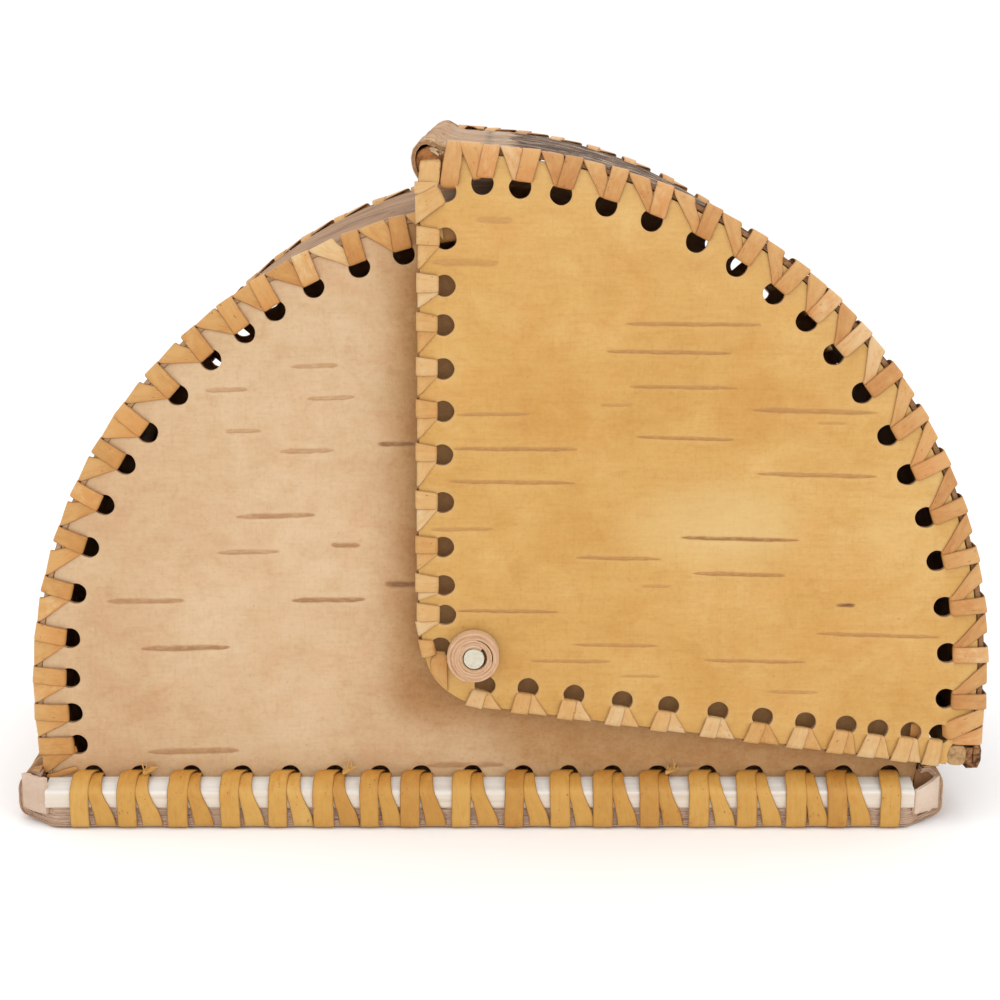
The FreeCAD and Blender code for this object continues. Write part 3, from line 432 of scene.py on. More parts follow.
# ------------------------------------------------------------------ mesh helpers
def add_mesh(name, verts, faces, mats, fmat=None, attrs=None, smooth=True, body=None, nodes=()):
    me = bpy.data.meshes.new(name)
    co = np.asarray(verts, float).reshape(-1, 3) * 0.001
    me.from_pydata([tuple(c) for c in co.tolist()], [], faces)
    for m in mats:
        me.materials.append(M[m])
    if fmat is not None:
        me.polygons.foreach_set("material_index", np.asarray(fmat, np.int32))
    me.polygons.foreach_set("use_smooth", np.full(len(me.polygons), smooth, bool))
    for k, a in (attrs or {}).items():
        a = np.asarray(a, np.float32)
        if a.ndim == 1:
            at = me.attributes.new(k, "FLOAT", "POINT")
            at.data.foreach_set("value", a)
        else:
            at = me.attributes.new(k, "FLOAT_VECTOR", "POINT")
            at.data.foreach_set("vector", a.ravel())
    me.validate()
    me.update()
    if smooth:
        me.set_sharp_from_angle(angle=math.radians(50))
    o = bpy.data.objects.new(name, me)
    bpy.context.scene.collection.objects.link(o)
    if body:
        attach(o, body)
    if nodes:
        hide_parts(*nodes)
    return o


def vnoise(x, y, z=0.0, s=1.0):
    return noise.noise((x * s, y * s, z))


def inside_poly(pts, poly):
    x, y = pts[:, 0], pts[:, 1]
    px, py = poly[:, 0], poly[:, 1]
    qx, qy = np.roll(px, -1), np.roll(py, -1)
    res = np.zeros(len(pts), bool)
    for a, b, c, d in zip(px, py, qx, qy):
        if b == d:
            continue
        hit = ((b > y) != (d > y)) & (x < (c - a) * (y - b) / (d - b) + a)
        res ^= hit
    return res


def dist_poly(pts, poly):
    """Distance of points to a closed polygon's edges."""
    d = np.full(len(pts), 1e9)
    q = np.roll(poly, -1, 0)
    for a, b in zip(poly, q):
        ab = b - a
        l2 = max(ab @ ab, 1e-12)
        t = np.clip(((pts - a) @ ab) / l2, 0, 1)
        d = np.minimum(d, np.hypot(*(pts - a - t[:, None] * ab).T))
    return d


def offset_in(poly, o):
    """Move a closed counter-clockwise polygon inwards."""
    p, n = np.roll(poly, 1, 0), np.roll(poly, -1, 0)
    t = n - p
    t /= np.maximum(np.hypot(t[:, 0], t[:, 1])[:, None], 1e-9)
    nn = np.stack([-t[:, 1], t[:, 0]], 1)
    return poly + nn * o


def resample(poly, step):
    poly = np.asarray(poly, float)
    out = []
    for a, b in zip(poly, np.roll(poly, -1, 0)):
        n = max(1, int(round(np.hypot(*(b - a)) / step)))
        for i in range(n):
            out.append(a + (b - a) * i / n)
    return np.array(out)


def area(poly):
    q = np.roll(poly, -1, 0)
    return 0.5 * np.sum(poly[:, 0] * q[:, 1] - q[:, 0] * poly[:, 1])


def bite(poly, c, r, step=0.9):
    """Cut a round notch into a closed polygon's edge."""
    d = np.hypot(poly[:, 0] - c[0], poly[:, 1] - c[1])
    inn = d < r
    n = len(poly)
    idx = np.nonzero(inn)[0]
    if len(idx) == 0:
        return poly
    gaps = [(idx[(i + 1) % len(idx)] - idx[i]) % n for i in range(len(idx))]
    k = int(np.argmax(gaps)) if len(idx) > 1 else 0
    last, first = idx[k], idx[(k + 1) % len(idx)]
    keep = [(last + 1 + j) % n for j in range((first - last - 1) % n)]
    a, b = poly[keep[-1]], poly[keep[0]]
    a0 = math.atan2(a[1] - c[1], a[0] - c[0])
    a1 = math.atan2(b[1] - c[1], b[0] - c[0])
    best = None
    for da in ((a1 - a0) % (2 * math.pi), (a1 - a0) % (2 * math.pi) - 2 * math.pi):
        am = a0 + da / 2
        m = np.array([[c[0] + r * math.cos(am), c[1] + r * math.sin(am)]])
        if inside_poly(m, poly)[0]:
            best = da
    if best is None:
        best = (a1 - a0) % (2 * math.pi)
    k = max(2, int(abs(best) * r / step))
    arc_ = [(c[0] + r * math.cos(a0 + best * i / k), c[1] + r * math.sin(a0 + best * i / k)) for i in range(1, k)]
    return np.array([poly[i] for i in keep] + arc_)


def sheet(outline, holes, fmap, thick, step, relief=None, attrs=None, bevel=0.3, inner=None, extra=None,
          keep_out=None, dense=None, relief_in=None):
    """A bark sheet over a flat outline with round holes, laid on a surface by fmap(u, v, d):
    d is the depth below the outer face. Returns verts, faces, material indices, uv."""
    outline = np.asarray(outline, float)
    if area(outline) < 0:
        outline = outline[::-1].copy()
    n0 = len(outline)
    ring1 = offset_in(outline, bevel)
    pts = [outline, ring1]
    loops = [list(range(n0))]
    kind = [0] * n0 + [1] * n0
    base = 2 * n0
    for (cu, cv, r) in holes:
        m = 26
        a = np.linspace(0, 2 * math.pi, m, endpoint=False)
        jit = 1 + 0.012 * np.sin(3 * a + cu) + 0.01 * np.sin(5 * a + cv)
        pts.append(np.stack([cu + r * jit * np.cos(a), cv + r * jit * np.sin(a)], 1))
        pts.append(np.stack([cu + (r * jit + bevel) * np.cos(a), cv + (r * jit + bevel) * np.sin(a)], 1))
        loops.append(list(range(base, base + m)))
        kind += [0] * m + [1] * m
        base += 2 * m
    lo, hi = outline.min(0), outline.max(0)
    su, sv = step if isinstance(step, tuple) else (step, step)
    gu = np.arange(lo[0] + su / 2, hi[0], su)
    gv = np.arange(lo[1] + sv / 2, hi[1], sv)
    if dense is not None:
        gu = np.unique(np.concatenate([gu] + [np.arange(a, b, c) for a, b, c in dense]))
    G = np.array([(u + (0.35 * sv if False else 0), v) for u in gu for v in gv])
    rs = np.random.RandomState(5)
    if dense is None:
        G = G + rs.uniform(-0.22, 0.22, G.shape) * np.array([su, sv])
    ok = inside_poly(G, outline)
    G = G[ok]
    G = G[dist_poly(G, outline) > max(0.9, bevel + 0.5)]
    for (cu, cv, r) in holes:
        G = G[np.hypot(G[:, 0] - cu, G[:, 1] - cv) > r + bevel + 0.5]
    if extra is not None and len(extra):
        E = np.asarray(extra, float)
        E = E[inside_poly(E, outline)]
        E = E[dist_poly(E, outline) > bevel + 0.3]
        for (cu, cv, r) in holes:
            E = E[np.hypot(E[:, 0] - cu, E[:, 1] - cv) > r + bevel + 0.3]
        if keep_out is not None:
            G = G[~keep_out(G)]
        G = np.concatenate([G, E])
    pts.append(G)
    kind += [2] * len(G)
    P = np.concatenate(pts)
    edges = []
    for l in loops:
        edges += [(l[i], l[(i + 1) % len(l)]) for i in range(len(l))]
    vo, eo, fo, ov, oe, of_ = delaunay_2d_cdt([Vector(p) for p in P.tolist()], edges, [], 0, 1e-5, True)
    V2 = np.array([(v.x, v.y) for v in vo])
    kd = np.array([kind[o[0]] if o else 2 for o in ov])
    src = np.array([o[0] if o else -1 for o in ov])
    T = np.array([f for f in fo if len(f) == 3])
    cen = V2[T].mean(1)
    ok = inside_poly(cen, outline)
    for i, (cu, cv, r) in enumerate(holes):
        near = np.hypot(cen[:, 0] - cu, cen[:, 1] - cv) < r * 1.05
        if near.any():
            idx = np.nonzero(near)[0]
            ring = P[loops[i + 1]]
            ok[idx[inside_poly(cen[idx], ring)]] = False
    T = T[ok]
    used = np.unique(T)
    remap = -np.ones(len(V2), int)
    remap[used] = np.arange(len(used))
    V2, kd, src = V2[used], kd[used], src[used]
    T = remap[T]
    e1 = V2[T[:, 1]] - V2[T[:, 0]]
    e2 = V2[T[:, 2]] - V2[T[:, 0]]
    flip = (e1[:, 0] * e2[:, 1] - e1[:, 1] * e2[:, 0]) < 0
    T[flip] = T[flip][:, ::-1]
    n = len(V2)
    bd = 0.75 * bevel
    rel = relief(V2[:, 0], V2[:, 1]) if relief else np.zeros(n)
    rin = relief_in(V2[:, 0], V2[:, 1]) if relief_in else np.zeros(n)
    front = np.array([fmap(u, v, (bd if k == 0 else 0.0) - q) for (u, v), k, q in zip(V2, kd, rel)])
    back = np.array([fmap(u, v, thick - (bd if k == 0 else 0.0) + q) for (u, v), k, q in zip(V2, kd, rin)])
    faces = [tuple(t) for t in T.tolist()] + [(a + n, c + n, b + n) for a, b, c in T.tolist()]
    fm = [0] * len(T) + [1] * len(T)
    rev = {int(s): i for i, s in enumerate(src)}
    for li, l in enumerate(loops):
        ids = [rev.get(i) for i in l]
        for a, b in zip(ids, ids[1:] + ids[:1]):
            if a is None or b is None:
                continue
            if li == 0:
                faces.append((b, a, a + n, b + n))
            else:
                faces.append((a, b, b + n, a + n))
            fm.append(2)
    return np.concatenate([front, back]), faces, fm, np.concatenate([V2, V2]), n


def fix_winding(o):
    import bmesh
    bm = bmesh.new()
    bm.from_mesh(o.data)
    bmesh.ops.recalc_face_normals(bm, faces=bm.faces)
    bm.to_mesh(o.data)
    bm.free()


# ------------------------------------------------------------------ outlines
def arcpts(c, r, a0, a1, step=2.0):
    n = max(2, int(abs(math.radians(a1 - a0)) * r / step))
    return [(c[0] + r * math.cos(math.radians(a0 + (a1 - a0) * i / n)),
             c[1] + r * math.sin(math.radians(a0 + (a1 - a0) * i / n))) for i in range(n + 1)]


def pt_on(c, r, a):
    return (c[0] + r * math.cos(math.radians(a)), c[1] + r * math.sin(math.radians(a)))


RC = (2 * SYM_X - FL[0], FL[1])
AL = 180.0 + math.degrees(math.asin((FL[1] - FLOOR_TOP) / FL_R))
AR = -math.degrees(math.asin((FL[1] - FLOOR_TOP) / FL_R))
fixed_out = (arcpts(RC, FL_R, AR, 180.0 - TAN_A) + arcpts(CR, CR_R, 180.0 - TAN_A, TAN_A)[1:] +
             arcpts(FL, FL_R, TAN_A, AL)[1:])
fixed_out = np.array(fixed_out)
bottom = resample(np.array([fixed_out[-1], fixed_out[0]]), 2.0)
bottom = bottom[1:len(bottom) // 2]
fixed_out = np.concatenate([fixed_out, bottom])

# profiles of the bent sheets
class Profile:
    """Middle line of a bent sheet, seen edge-on: lines ('L', length) and arcs ('A', radius, degrees, +-1)."""
    def __init__(self, start, heading, segs):
        self.parts = []
        x, z, h, s = start[0], start[1], heading, 0.0
        for g in segs:
            if g[0] == "L":
                self.parts.append((s, g[1], x, z, h, None))
                x += g[1] * math.cos(math.radians(h))
                z += g[1] * math.sin(math.radians(h))
                s += g[1]
            else:
                _, r, deg, sg = g
                c = (x - sg * r * math.sin(math.radians(h)), z + sg * r * math.cos(math.radians(h)))
                a0 = h - sg * 90.0
                ln = r * math.radians(deg)
                self.parts.append((s, ln, c[0], c[1], h, (r, a0, sg)))
                a1 = a0 + sg * deg
                x, z = pt_on(c, r, a1)
                h += sg * deg
                s += ln
        self.length = s

    def at(self, s):
        for (s0, ln, x, z, h, a) in self.parts:
            if s <= s0 + ln or (s0 + ln) >= self.length - 1e-6:
                break
        d = s - s0
        if a is None:
            return (x + d * math.cos(math.radians(h)), z + d * math.sin(math.radians(h)), h)
        r, a0, sg = a
        da = math.degrees(d / r)
        p = pt_on((x, z), r, a0 + sg * da)
        return (p[0], p[1], h + sg * da)

    def off(self, s, o):
        x, z, h = self.at(s)
        return (x - o * math.sin(math.radians(h)), z + o * math.cos(math.radians(h)))

    def nearest(self, p):
        ss = np.arange(0, self.length, 0.1)
        q = np.array([self.at(s)[:2] for s in ss])
        return float(ss[np.argmin(np.hypot(q[:, 0] - p[0], q[:, 1] - p[1]))])


def arch_normal(h):
    ang = math.degrees(math.atan2(h[1] - FL[1], h[0] - FL[0]))
    c, r = (CR, CR_R) if ang < TAN_A and h[1] > FL[1] else (FL, FL_R)
    dx, dz = h[0] - c[0], h[1] - c[1]
    d = math.hypot(dx, dz)
    return (dx / d, dz / d), r - d


band_r = FL_R + GAP + BAND / 2
al_b = 180.0 + math.degrees(math.asin((FL[1] - FLOOR_TOP - 0.35) / band_r))
crown_r = CR_R + GAP + BAND / 2
a_end = 90.0 - math.degrees(math.asin((4.2 - SYM_X) / crown_r))
ARCH = Profile(pt_on(FL, band_r, al_b), al_b - 90.0,
               [("A", band_r, al_b - TAN_A, -1), ("A", crown_r, TAN_A - a_end, -1), ("A", 4.1, 200.0, -1)])
ARCH_ROLL = pt_on(CR, crown_r - 4.1, a_end)
fixed_out = bite(fixed_out, ARCH_ROLL, 4.1 + BAND / 2 + 0.15)

CB_R = CC_R + GAP + BAND / 2
A_TOP = 92.4
C_TOP = pt_on(CC, CB_R - 4.6, A_TOP)
TIP = pt_on(C_TOP, 4.6, A_TOP + 205.0)
X_SIDE = CC[0] + CB_R
Z_BOT = 23.7
COVP = Profile(TIP, A_TOP + 205.0 - 90.0, [("A", 4.6, 205.0, -1), ("A", CB_R, A_TOP, -1),
                                           ("L", CC[1] - 20.9), ("A", 0.98, 180.0, -1), ("L", 5.2)])
C_BOT = (X_SIDE - 4.0, Z_BOT)

lu = np.array([CL_SLOPE, 1.0]); lu /= np.hypot(*lu)
l_in = np.array([lu[1], -lu[0]])
bu = np.array([1.0, CB_SLOPE]); bu /= np.hypot(*bu)
b_in = np.array([-bu[1], bu[0]])


def meet(p, u, q, w):
    det = u[0] * (-w[1]) - u[1] * (-w[0])
    d = q - p
    s = (d[0] * (-w[1]) - d[1] * (-w[0])) / det
    return p + u * s


FC = meet(np.array([CL_X0, 60.0]) + l_in * FIL_R, lu, np.array([6.15, CB_Z0]) + b_in * FIL_R, bu)
F_LEFT, F_BOT = FC - l_in * FIL_R, FC - b_in * FIL_R


def line_circle(p, u, c, r):
    d = np.array([p[0] - c[0], p[1] - c[1]])
    b = d @ u
    return -b + math.sqrt(b * b - (d @ d - r * r))


TL = F_LEFT + lu * line_circle(F_LEFT, lu, CC, CC_R)
BR = F_BOT + bu * line_circle(F_BOT, bu, CC, CC_R)
aTL = math.degrees(math.atan2(TL[1] - CC[1], TL[0] - CC[0]))
aBR = math.degrees(math.atan2(BR[1] - CC[1], BR[0] - CC[0]))
aFL = math.degrees(math.atan2(F_LEFT[1] - FC[1], F_LEFT[0] - FC[0])) % 360
aFB = math.degrees(math.atan2(F_BOT[1] - FC[1], F_BOT[0] - FC[0])) % 360


def seg_pts(a, b, step=2.0):
    a, b = np.asarray(a, float), np.asarray(b, float)
    n = max(1, int(np.hypot(*(b - a)) / step))
    return [tuple(a + (b - a) * i / n) for i in range(n + 1)]


cover_out = (arcpts(CC, CC_R, aBR, aTL) + seg_pts(TL, F_LEFT)[1:] + arcpts(FC, FIL_R, aFL, aFB)[1:] +
             seg_pts(F_BOT, BR)[1:-1])
def left_push(z):
    """The cover's left edge bows in a little beside the peg."""
    return float(np.interp(z, [48, 51, 55, 58, 62, 66, 73, 80], [0, .3, .8, 1.05, 1.0, .7, .3, 0]))


cover_out = [(x + (left_push(z) if x < -10 else 0.0), z) for x, z in cover_out]
cover_out = offset_in(np.array(cover_out)[::-1] if area(np.array(cover_out)) < 0 else np.array(cover_out), 0.28)
cover_out = bite(cover_out, C_TOP, 4.6 + BAND / 2 + 0.15)
cover_out = bite(cover_out, (X_SIDE - 4.0, Z_BOT), 4.0 + BAND / 2 + 0.15)


# ------------------------------------------------------------------ gentle unevenness of the sheets
def wave(x, z, seed):
    return 0.5 * (noise.noise((x * 0.018, z * 0.018, seed)) + 0.5 * noise.noise((x * 0.05, z * 0.05, seed + 9)))


def q_shell(x, z, side):
    return -0.16 + 0.24 * wave(x, z, 3.0 + side)          # always a little inwards


def q_cover(x, z, side):
    return 0.16 + 0.24 * wave(x, z, 7.0 + side)           # always a little outwards


# lenticels: x0, x1, z, tilt (mm over the length), half-height, strength, dark
LENT_F = [(-83.5, -69.9, 139.2, .3, .75, .75, 0), (-57.3, -42.5, 146.5, .4, .75, .75, 0),
          (-52.7, -37.5, 136.7, .6, .7, .75, 0), (-77.9, -66.3, 126.5, .2, .7, .7, 0),
          (-61.3, -44.2, 120.3, .5, .8, .8, 0), (-75.4, -50.5, 99.9, .7, .9, .9, .2),
          (-81.4, -61.9, 88.4, .4, .8, .8, .1), (-46.4, -36.8, 90.6, 0, .9, .9, .3),
          (-116.5, -91.9, 72.6, .2, .9, .9, .15), (-58.9, -35.5, 73.0, .3, .9, 1., .35),
          (-106.6, -78.1, 57.3, .6, 1., 1., .3), (-105.9, -76.4, 23.1, .5, 1.1, .9, .25),
          (-31.3, -19.0, 122.5, .1, .9, 1., .8), (-29.9, -19.0, 78.1, 0, 1.2, 1., .9),
          (-17.7, 7.8, 18.4, .2, 1., .7, .3), (53.9, 69.8, 18.4, .3, .9, .7, .3),
          (20., 38., 118.0, .4, .8, .8, .2), (48., 79., 96.0, .2, .9, .8, .2), (10., 34., 62., .3, .8, .8, .2),
          (62., 100., 58., .1, .8, .8, .2), (30., 60., 150., .3, .8, .7, .1), (90., 118., 92., .1, .9, .8, .3)]
LENT_C = [(-1.2, 10.3, 190.7, -.2, 1.5, .45, 0), (-14.2, 6.2, 178.3, -.3, 1.6, .5, 0),
          (43.4, 84.2, 159.9, -.3, .9, .8, .12), (37.8, 75.5, 151.5, -.6, .9, .85, .12),
          (44.9, 77.6, 140.9, -.5, .8, .75, .1), (81.7, 120.0, 133.6, -1.0, 1.1, .8, .1),
          (47.0, 77.2, 125.3, -.9, .8, .85, .12), (83.9, 120.9, 113.9, -1.0, 1., .8, .1),
          (-7.4, 15.5, 132.7, .2, .8, .7, .05), (-9.0, 29.8, 122.0, -.2, .9, .85, .15),
          (-9.6, 29.3, 111.7, -.5, .9, .8, .1), (-15.2, 4.6, 97.0, .3, .9, .6, .05),
          (61.3, 98.0, 93.9, -.9, .95, 1., .4), (29.2, 55.9, 87.8, -.5, .85, .8, .12),
          (65.2, 94.1, 82.7, -.8, .95, .9, .15), (-7.4, 24.4, 70.9, -.4, .8, .8, .12),
          (28.8, 55.5, 59.9, -.5, .8, .7, .05), (15.5, 41.0, 54.7, -.3, .8, .7, .05),
          (69.3, 101.3, 54.7, -.7, .8, .75, .1), (103.8, 142.5, 63.1, -1.2, .9, .75, .1),
          (109.6, 116.0, 72.8, 0, .9, 1., .9), (89.2, 106.0, 44.6, -.3, .8, .6, 0),
          (36.0, 45.9, 135.5, 0, .7, .5, 0), (101.4, 111.1, 130.0, -.1, .7, .5, 0),
          (49.3, 59.1, 78.9, -.1, .7, .5, 0), (43.5, 56.6, 49.8, -.1, .7, .5, 0)]


LENT_F = [(a, b, c, d, 0.82 * h, st, dk) for (a, b, c, d, h, st, dk) in LENT_F]
LENT_C = [(a, b, c, d, 0.60 * h, min(1.0, 1.1 * st), dk + 0.12) for (a, b, c, d, h, st, dk) in LENT_C]


def random_lent(n, seed, inside):
    r = random.Random(seed)
    out = []
    while len(out) < n:
        x, z = r.uniform(-130, 140), r.uniform(25, 190)
        w = r.uniform(9, 36)
        if all(inside(x + w * k, z) for k in (0, 0.5, 1)) and \
                all(abs(z - o[2]) > 6 or x > o[1] + 4 or x + w < o[0] - 4 for o in out):
            out.append((x, x + w, z, r.uniform(-.9, .4), r.uniform(.45, .8), r.uniform(.6, .95), r.choice([0, .1, .15, .5])))
    return out


def lent_bend(x, zc):
    return 0.05 * np.sin(x * 0.42 + zc) + 0.03 * np.sin(x * 1.1 + 2.3 * zc)


def lent_fields(x, z, lst):
    rel = np.zeros(len(x)); le = np.zeros(len(x)); ld = np.zeros(len(x))
    for (x0, x1, zc, tilt, hh, st, dk) in lst:
        L = x1 - x0
        t = (x - x0) / L
        zz = zc + tilt * (t - 0.5) + lent_bend(x, zc)
        taper = np.clip(np.minimum(t, 1 - t) * L / 1.2, 0, 1)
        point = np.clip(np.minimum(t, 1 - t) / 0.20, 0, 1) ** 0.55
        h = hh * (0.22 + 0.78 * point) * (1 + 0.10 * np.sin(x * 0.33 + 2 * zc) + 0.05 * np.sin(x * 1.3 + zc))
        d = (z - zz) / h
        m = taper * (t > 0) * (t < 1)
        ridge = np.clip(1 - np.abs(d), 0, 1)
        rel += 0.20 * st * m * ridge - 0.08 * st * m * np.exp(-((np.abs(d) - 1.15) / 0.25) ** 2)
        le = np.maximum(le, st * np.minimum(1, 1.6 * m) * np.clip((1.22 - np.abs(d)) / 0.42, 0, 1))
        # dark outline of each lenticel; its lower edge is drawn stronger as painted shade under the raised lenticel
        line = np.exp(-((np.abs(d) - 0.92) / 0.24) ** 2) * np.where(d < 0, 1.0, 0.55)
        ld = np.maximum(ld, m * np.maximum(0.42 * st * line, dk * np.clip((1.1 - np.abs(d)) / 0.5, 0, 1)))
    return rel, np.clip(le, 0, 1), np.clip(ld, 0, 1)


def lent_halo(x, z, lst):
    w = np.zeros(len(x))
    for (x0, x1, zc, tilt, hh, st, dk) in lst:
        t = (x - x0) / (x1 - x0)
        d = np.abs(z - zc - tilt * (t - 0.5)) / hh
        w = np.maximum(w, 0.5 * st * np.exp(-((d - 1.9) / 0.6) ** 2) * (t > -0.02) * (t < 1.02))
    return w


def lent_points(lst):
    pts = []
    for (x0, x1, zc, tilt, hh, st, dk) in lst:
        n = max(4, int((x1 - x0) / 0.85))
        for i in range(n + 1):
            t = i / n
            x = x0 + (x1 - x0) * t
            zz = zc + tilt * (t - 0.5) + float(lent_bend(x, zc))
            hk = hh * (0.22 + 0.78 * min(1.0, min(t, 1 - t) / 0.20) ** 0.55)
            for k in (-1.9, -1.3, -0.92, -0.5, 0.0, 0.5, 0.92, 1.3, 1.9):
                pts.append((x, zz + k * max(hk, 0.16)))
    return pts


def lent_keepout(lst):
    def f(G):
        k = np.zeros(len(G), bool)
        for (x0, x1, zc, tilt, hh, st, dk) in lst:
            k |= (G[:, 0] > x0 - 0.6) & (G[:, 0] < x1 + 0.6) & (np.abs(G[:, 1] - zc) < 1.9 * hh + abs(tilt) / 2)
        return k
    return f


def build_panel(name, outline, holes, yabs, side, qf, lst, mat, body, shade=None):
    def fmap(u, v, d):
        return (u, side * (yabs + qf(u, v, side) - d), v)

    def rel(u, v):
        return lent_fields(u, v, lst)[0]
    v, f, fm, uv, n = sheet(outline, holes, fmap, BARK, 2.3, relief=rel, bevel=0.28,
                            extra=lent_points(lst), keep_out=lent_keepout(lst))
    _, le, ld = lent_fields(uv[:, 0], uv[:, 1], lst)
    le[n:] *= 0.0
    ld[n:] *= 0.0
    wear = np.zeros(len(uv))
    for (cu, cv, r) in holes:
        d = np.hypot(uv[:, 0] - cu, uv[:, 1] - cv) - r
        wear = np.maximum(wear, np.exp(-np.clip(d, 0, 9) / 0.8))
    wear[:n] = np.maximum(wear[:n], lent_halo(uv[:n, 0], uv[:n, 1], lst))
    if body == "cover":        # paler along the upper part of the arc
        e_ = np.maximum(CC_R - np.hypot(uv[:, 0] - CC[0], uv[:, 1] - CC[1]), 0.0)
        wear = np.maximum(wear, 0.8 * np.exp(-(e_ / 17.0) ** 1.5) * np.clip((uv[:, 1] - 110.0) / 60.0, 0, 1))
    at = {"lent": le, "ldark": ld, "wear": wear,
          "shade": shade(uv[:, 0], uv[:, 1]) if shade else np.zeros(len(uv))}
    o = add_mesh(name, v, f, [mat, "inside", "edge"], fm, at, True, body, (name[4:],))
    fix_winding(o)
    return o


def shade_front(x, z):
    """Painted shadow of the closed cover on the bark beside and below it, the part below warmed as a painted reflection
    of the golden cover; also darker towards the foot, and darker away from the middle of the left half.
    """
    dl = (CL_X0 + CL_SLOPE * (z - 60.0)) - x
    db = (CB_Z0 + CB_SLOPE * (x - 6.15)) - z
    inx, inz = np.maximum(dl, 0.0), np.maximum(db, 0.0)
    d = np.hypot(inx, inz)
    a = 0.82 * np.exp(-(d / 10.5) ** 2.4)
    t = np.clip((x + 12.0) / 34.0, 0, 1)
    below = 0.92 * t * t * (3 - 2 * t) * np.clip(1.1 - np.maximum(inz - 8.0, 0.0) / 30.0, 0, 1)
    blot = 0.22 * (1.0 - np.exp(-(((x + 62.0) / 48.0) ** 2 + ((z - 88.0) / 42.0) ** 2)))
    foot = 0.35 * np.clip((24.0 - z) / 10.0, 0, 1)
    return np.clip(np.maximum(np.maximum(a, below), foot) + blot, 0, 1)


arch_frames = []
for h in ARCH_HOLES:
    n_, e_ = arch_normal(h)
    arch_frames.append((h, n_, (-n_[1], n_[0]), e_))

fixed_holes = [(h[0], h[1], HOLE_R) for h in ARCH_HOLES] + [(x, BASE_HOLE_Z, HOLE_R) for x in BASE_HOLES] + \
              [(PIVOT[0], PIVOT[1], PEG_R + 0.02)]
cover_holes = [(h[0], h[1], HOLE_R) for h in COVER_ARC_HOLES + COVER_LEFT_HOLES + COVER_BOTTOM_HOLES] + \
              [(PIVOT[0], PIVOT[1], PEG_R + HINGE_CLEAR)]


def in_fixed(x, z):
    return math.hypot(x - FL[0], z - FL[1]) < 138 and math.hypot(x - RC[0], z - FL[1]) < 138 and z < 170 and z > 27


def in_cover(x, z):
    return x > -4 and z > CB_Z0 + CB_SLOPE * (x - 6.15) + 14 and math.hypot(x - CC[0], z - CC[1]) < 146 and \
        math.hypot(x - PIVOT[0], z - PIVOT[1]) > 14


# the front panel carries the painted shadow of the cover from shade_front, the back panel half of it
build_panel("vis_front_panel", fixed_out, fixed_holes, SHELL_Y, -1, q_shell, LENT_F, "fixed", "shell", shade_front)
build_panel("vis_back_panel", fixed_out, fixed_holes, SHELL_Y, 1, q_shell, random_lent(24, 11, in_fixed), "fixed_b", "shell",
            lambda x, z: 0.5 * shade_front(x, z))
build_panel("vis_cover_front_panel", cover_out, cover_holes, COVER_Y, -1, q_cover, LENT_C, "cover", "cover")
build_panel("vis_cover_back_panel", cover_out, cover_holes, COVER_Y, 1, q_cover, random_lent(24, 12, in_cover), "cover_b",
            "cover")


# ------------------------------------------------------------------ bands
def rnoise(u, v, s, k=0.0):
    return noise.noise((u * s, v * s, k))


def build_band(name, prof, halfw, thick, frames, tb_off, step, mats, body, relief, dense, bev=0.35, scale=None,
               sgn=1.0, ragged=0.0, lent=None, pink=None, relief_in=None):
    holes = []
    for (h, n, t, e) in frames:
        s = prof.nearest((h[0] + n[0] * (e + tb_off), h[1] + n[1] * (e + tb_off)))
        holes += [(s, halfw - BAND_HOLE_IN, BAND_HOLE_R), (s, -halfw + BAND_HOLE_IN, BAND_HOLE_R)]
    L = prof.length
    pts = []
    for k, s in enumerate(np.arange(0.0, L, 1.6)):
        pts.append((s, -halfw + ragged * (0.5 + 0.5 * rnoise(s, 3, 0.23, 1.0))))
    for y in np.arange(-halfw, halfw, 1.6):
        pts.append((L - ragged * 1.6 * abs(rnoise(y, 5, 0.3, 2.0)), y))
    for s in np.arange(L, 0.0, -1.6):
        pts.append((s, halfw - ragged * (0.5 + 0.5 * rnoise(s, 3, 0.23, 5.0))))
    for y in np.arange(halfw, -halfw, -1.6):
        pts.append((0.0 + ragged * 1.6 * abs(rnoise(y, 5, 0.3, 7.0)), y))

    def fmap(s, y, d):
        p = prof.off(min(max(s, 0), L), sgn * (thick / 2 - d))
        return (p[0], y, p[1])
    v, f, fm, uv, n = sheet(pts, holes, fmap, thick, step, relief=relief, bevel=bev, dense=dense, relief_in=relief_in)
    gr = np.stack([uv[:, 0] * 0.001, uv[:, 1] * 0.001, np.zeros(len(uv))], 1)
    sc = scale(uv[:, 0], uv[:, 1]) if scale else np.full(len(uv), 0.5)
    at = {"gr": gr, "scale": sc, "lent": lent(uv[:, 0], uv[:, 1]) if lent else np.zeros(len(uv)),
          "ldark": np.zeros(len(uv)), "wear": np.zeros(len(uv)),
          "pink": pink(uv[:, 0], uv[:, 1]) if pink else np.zeros(len(uv))}
    if len(mats) > 3:                          # rough bark at the far end
        fm = [3 if (uv[q[0], 0] > L - 15.5 + 2.0 * rnoise(uv[q[0], 1], 1, 0.4, 2.0)) else k for q, k in zip(f, fm)]
    o = add_mesh(name, v, f, mats, fm, at, True, body, (name[4:],))
    fix_winding(o)
    return o


def arch_relief(s, y):
    return np.array([0.10 * rnoise(a, b * 3.0, 0.12, 2) + 0.07 * noise.noise((a * 0.05, b * 1.1, 4)) - 0.05
                     for a, b in zip(s, y)])


AL1 = ARCH.length
build_band("vis_arch_band", ARCH, SHELL_Y - 0.0, BAND, arch_frames, BAND / 2 + GAP, (3.0, 2.2), ["band", "bandin", "edge"],
           "shell", arch_relief, [(AL1 - 15, AL1, 0.8)])


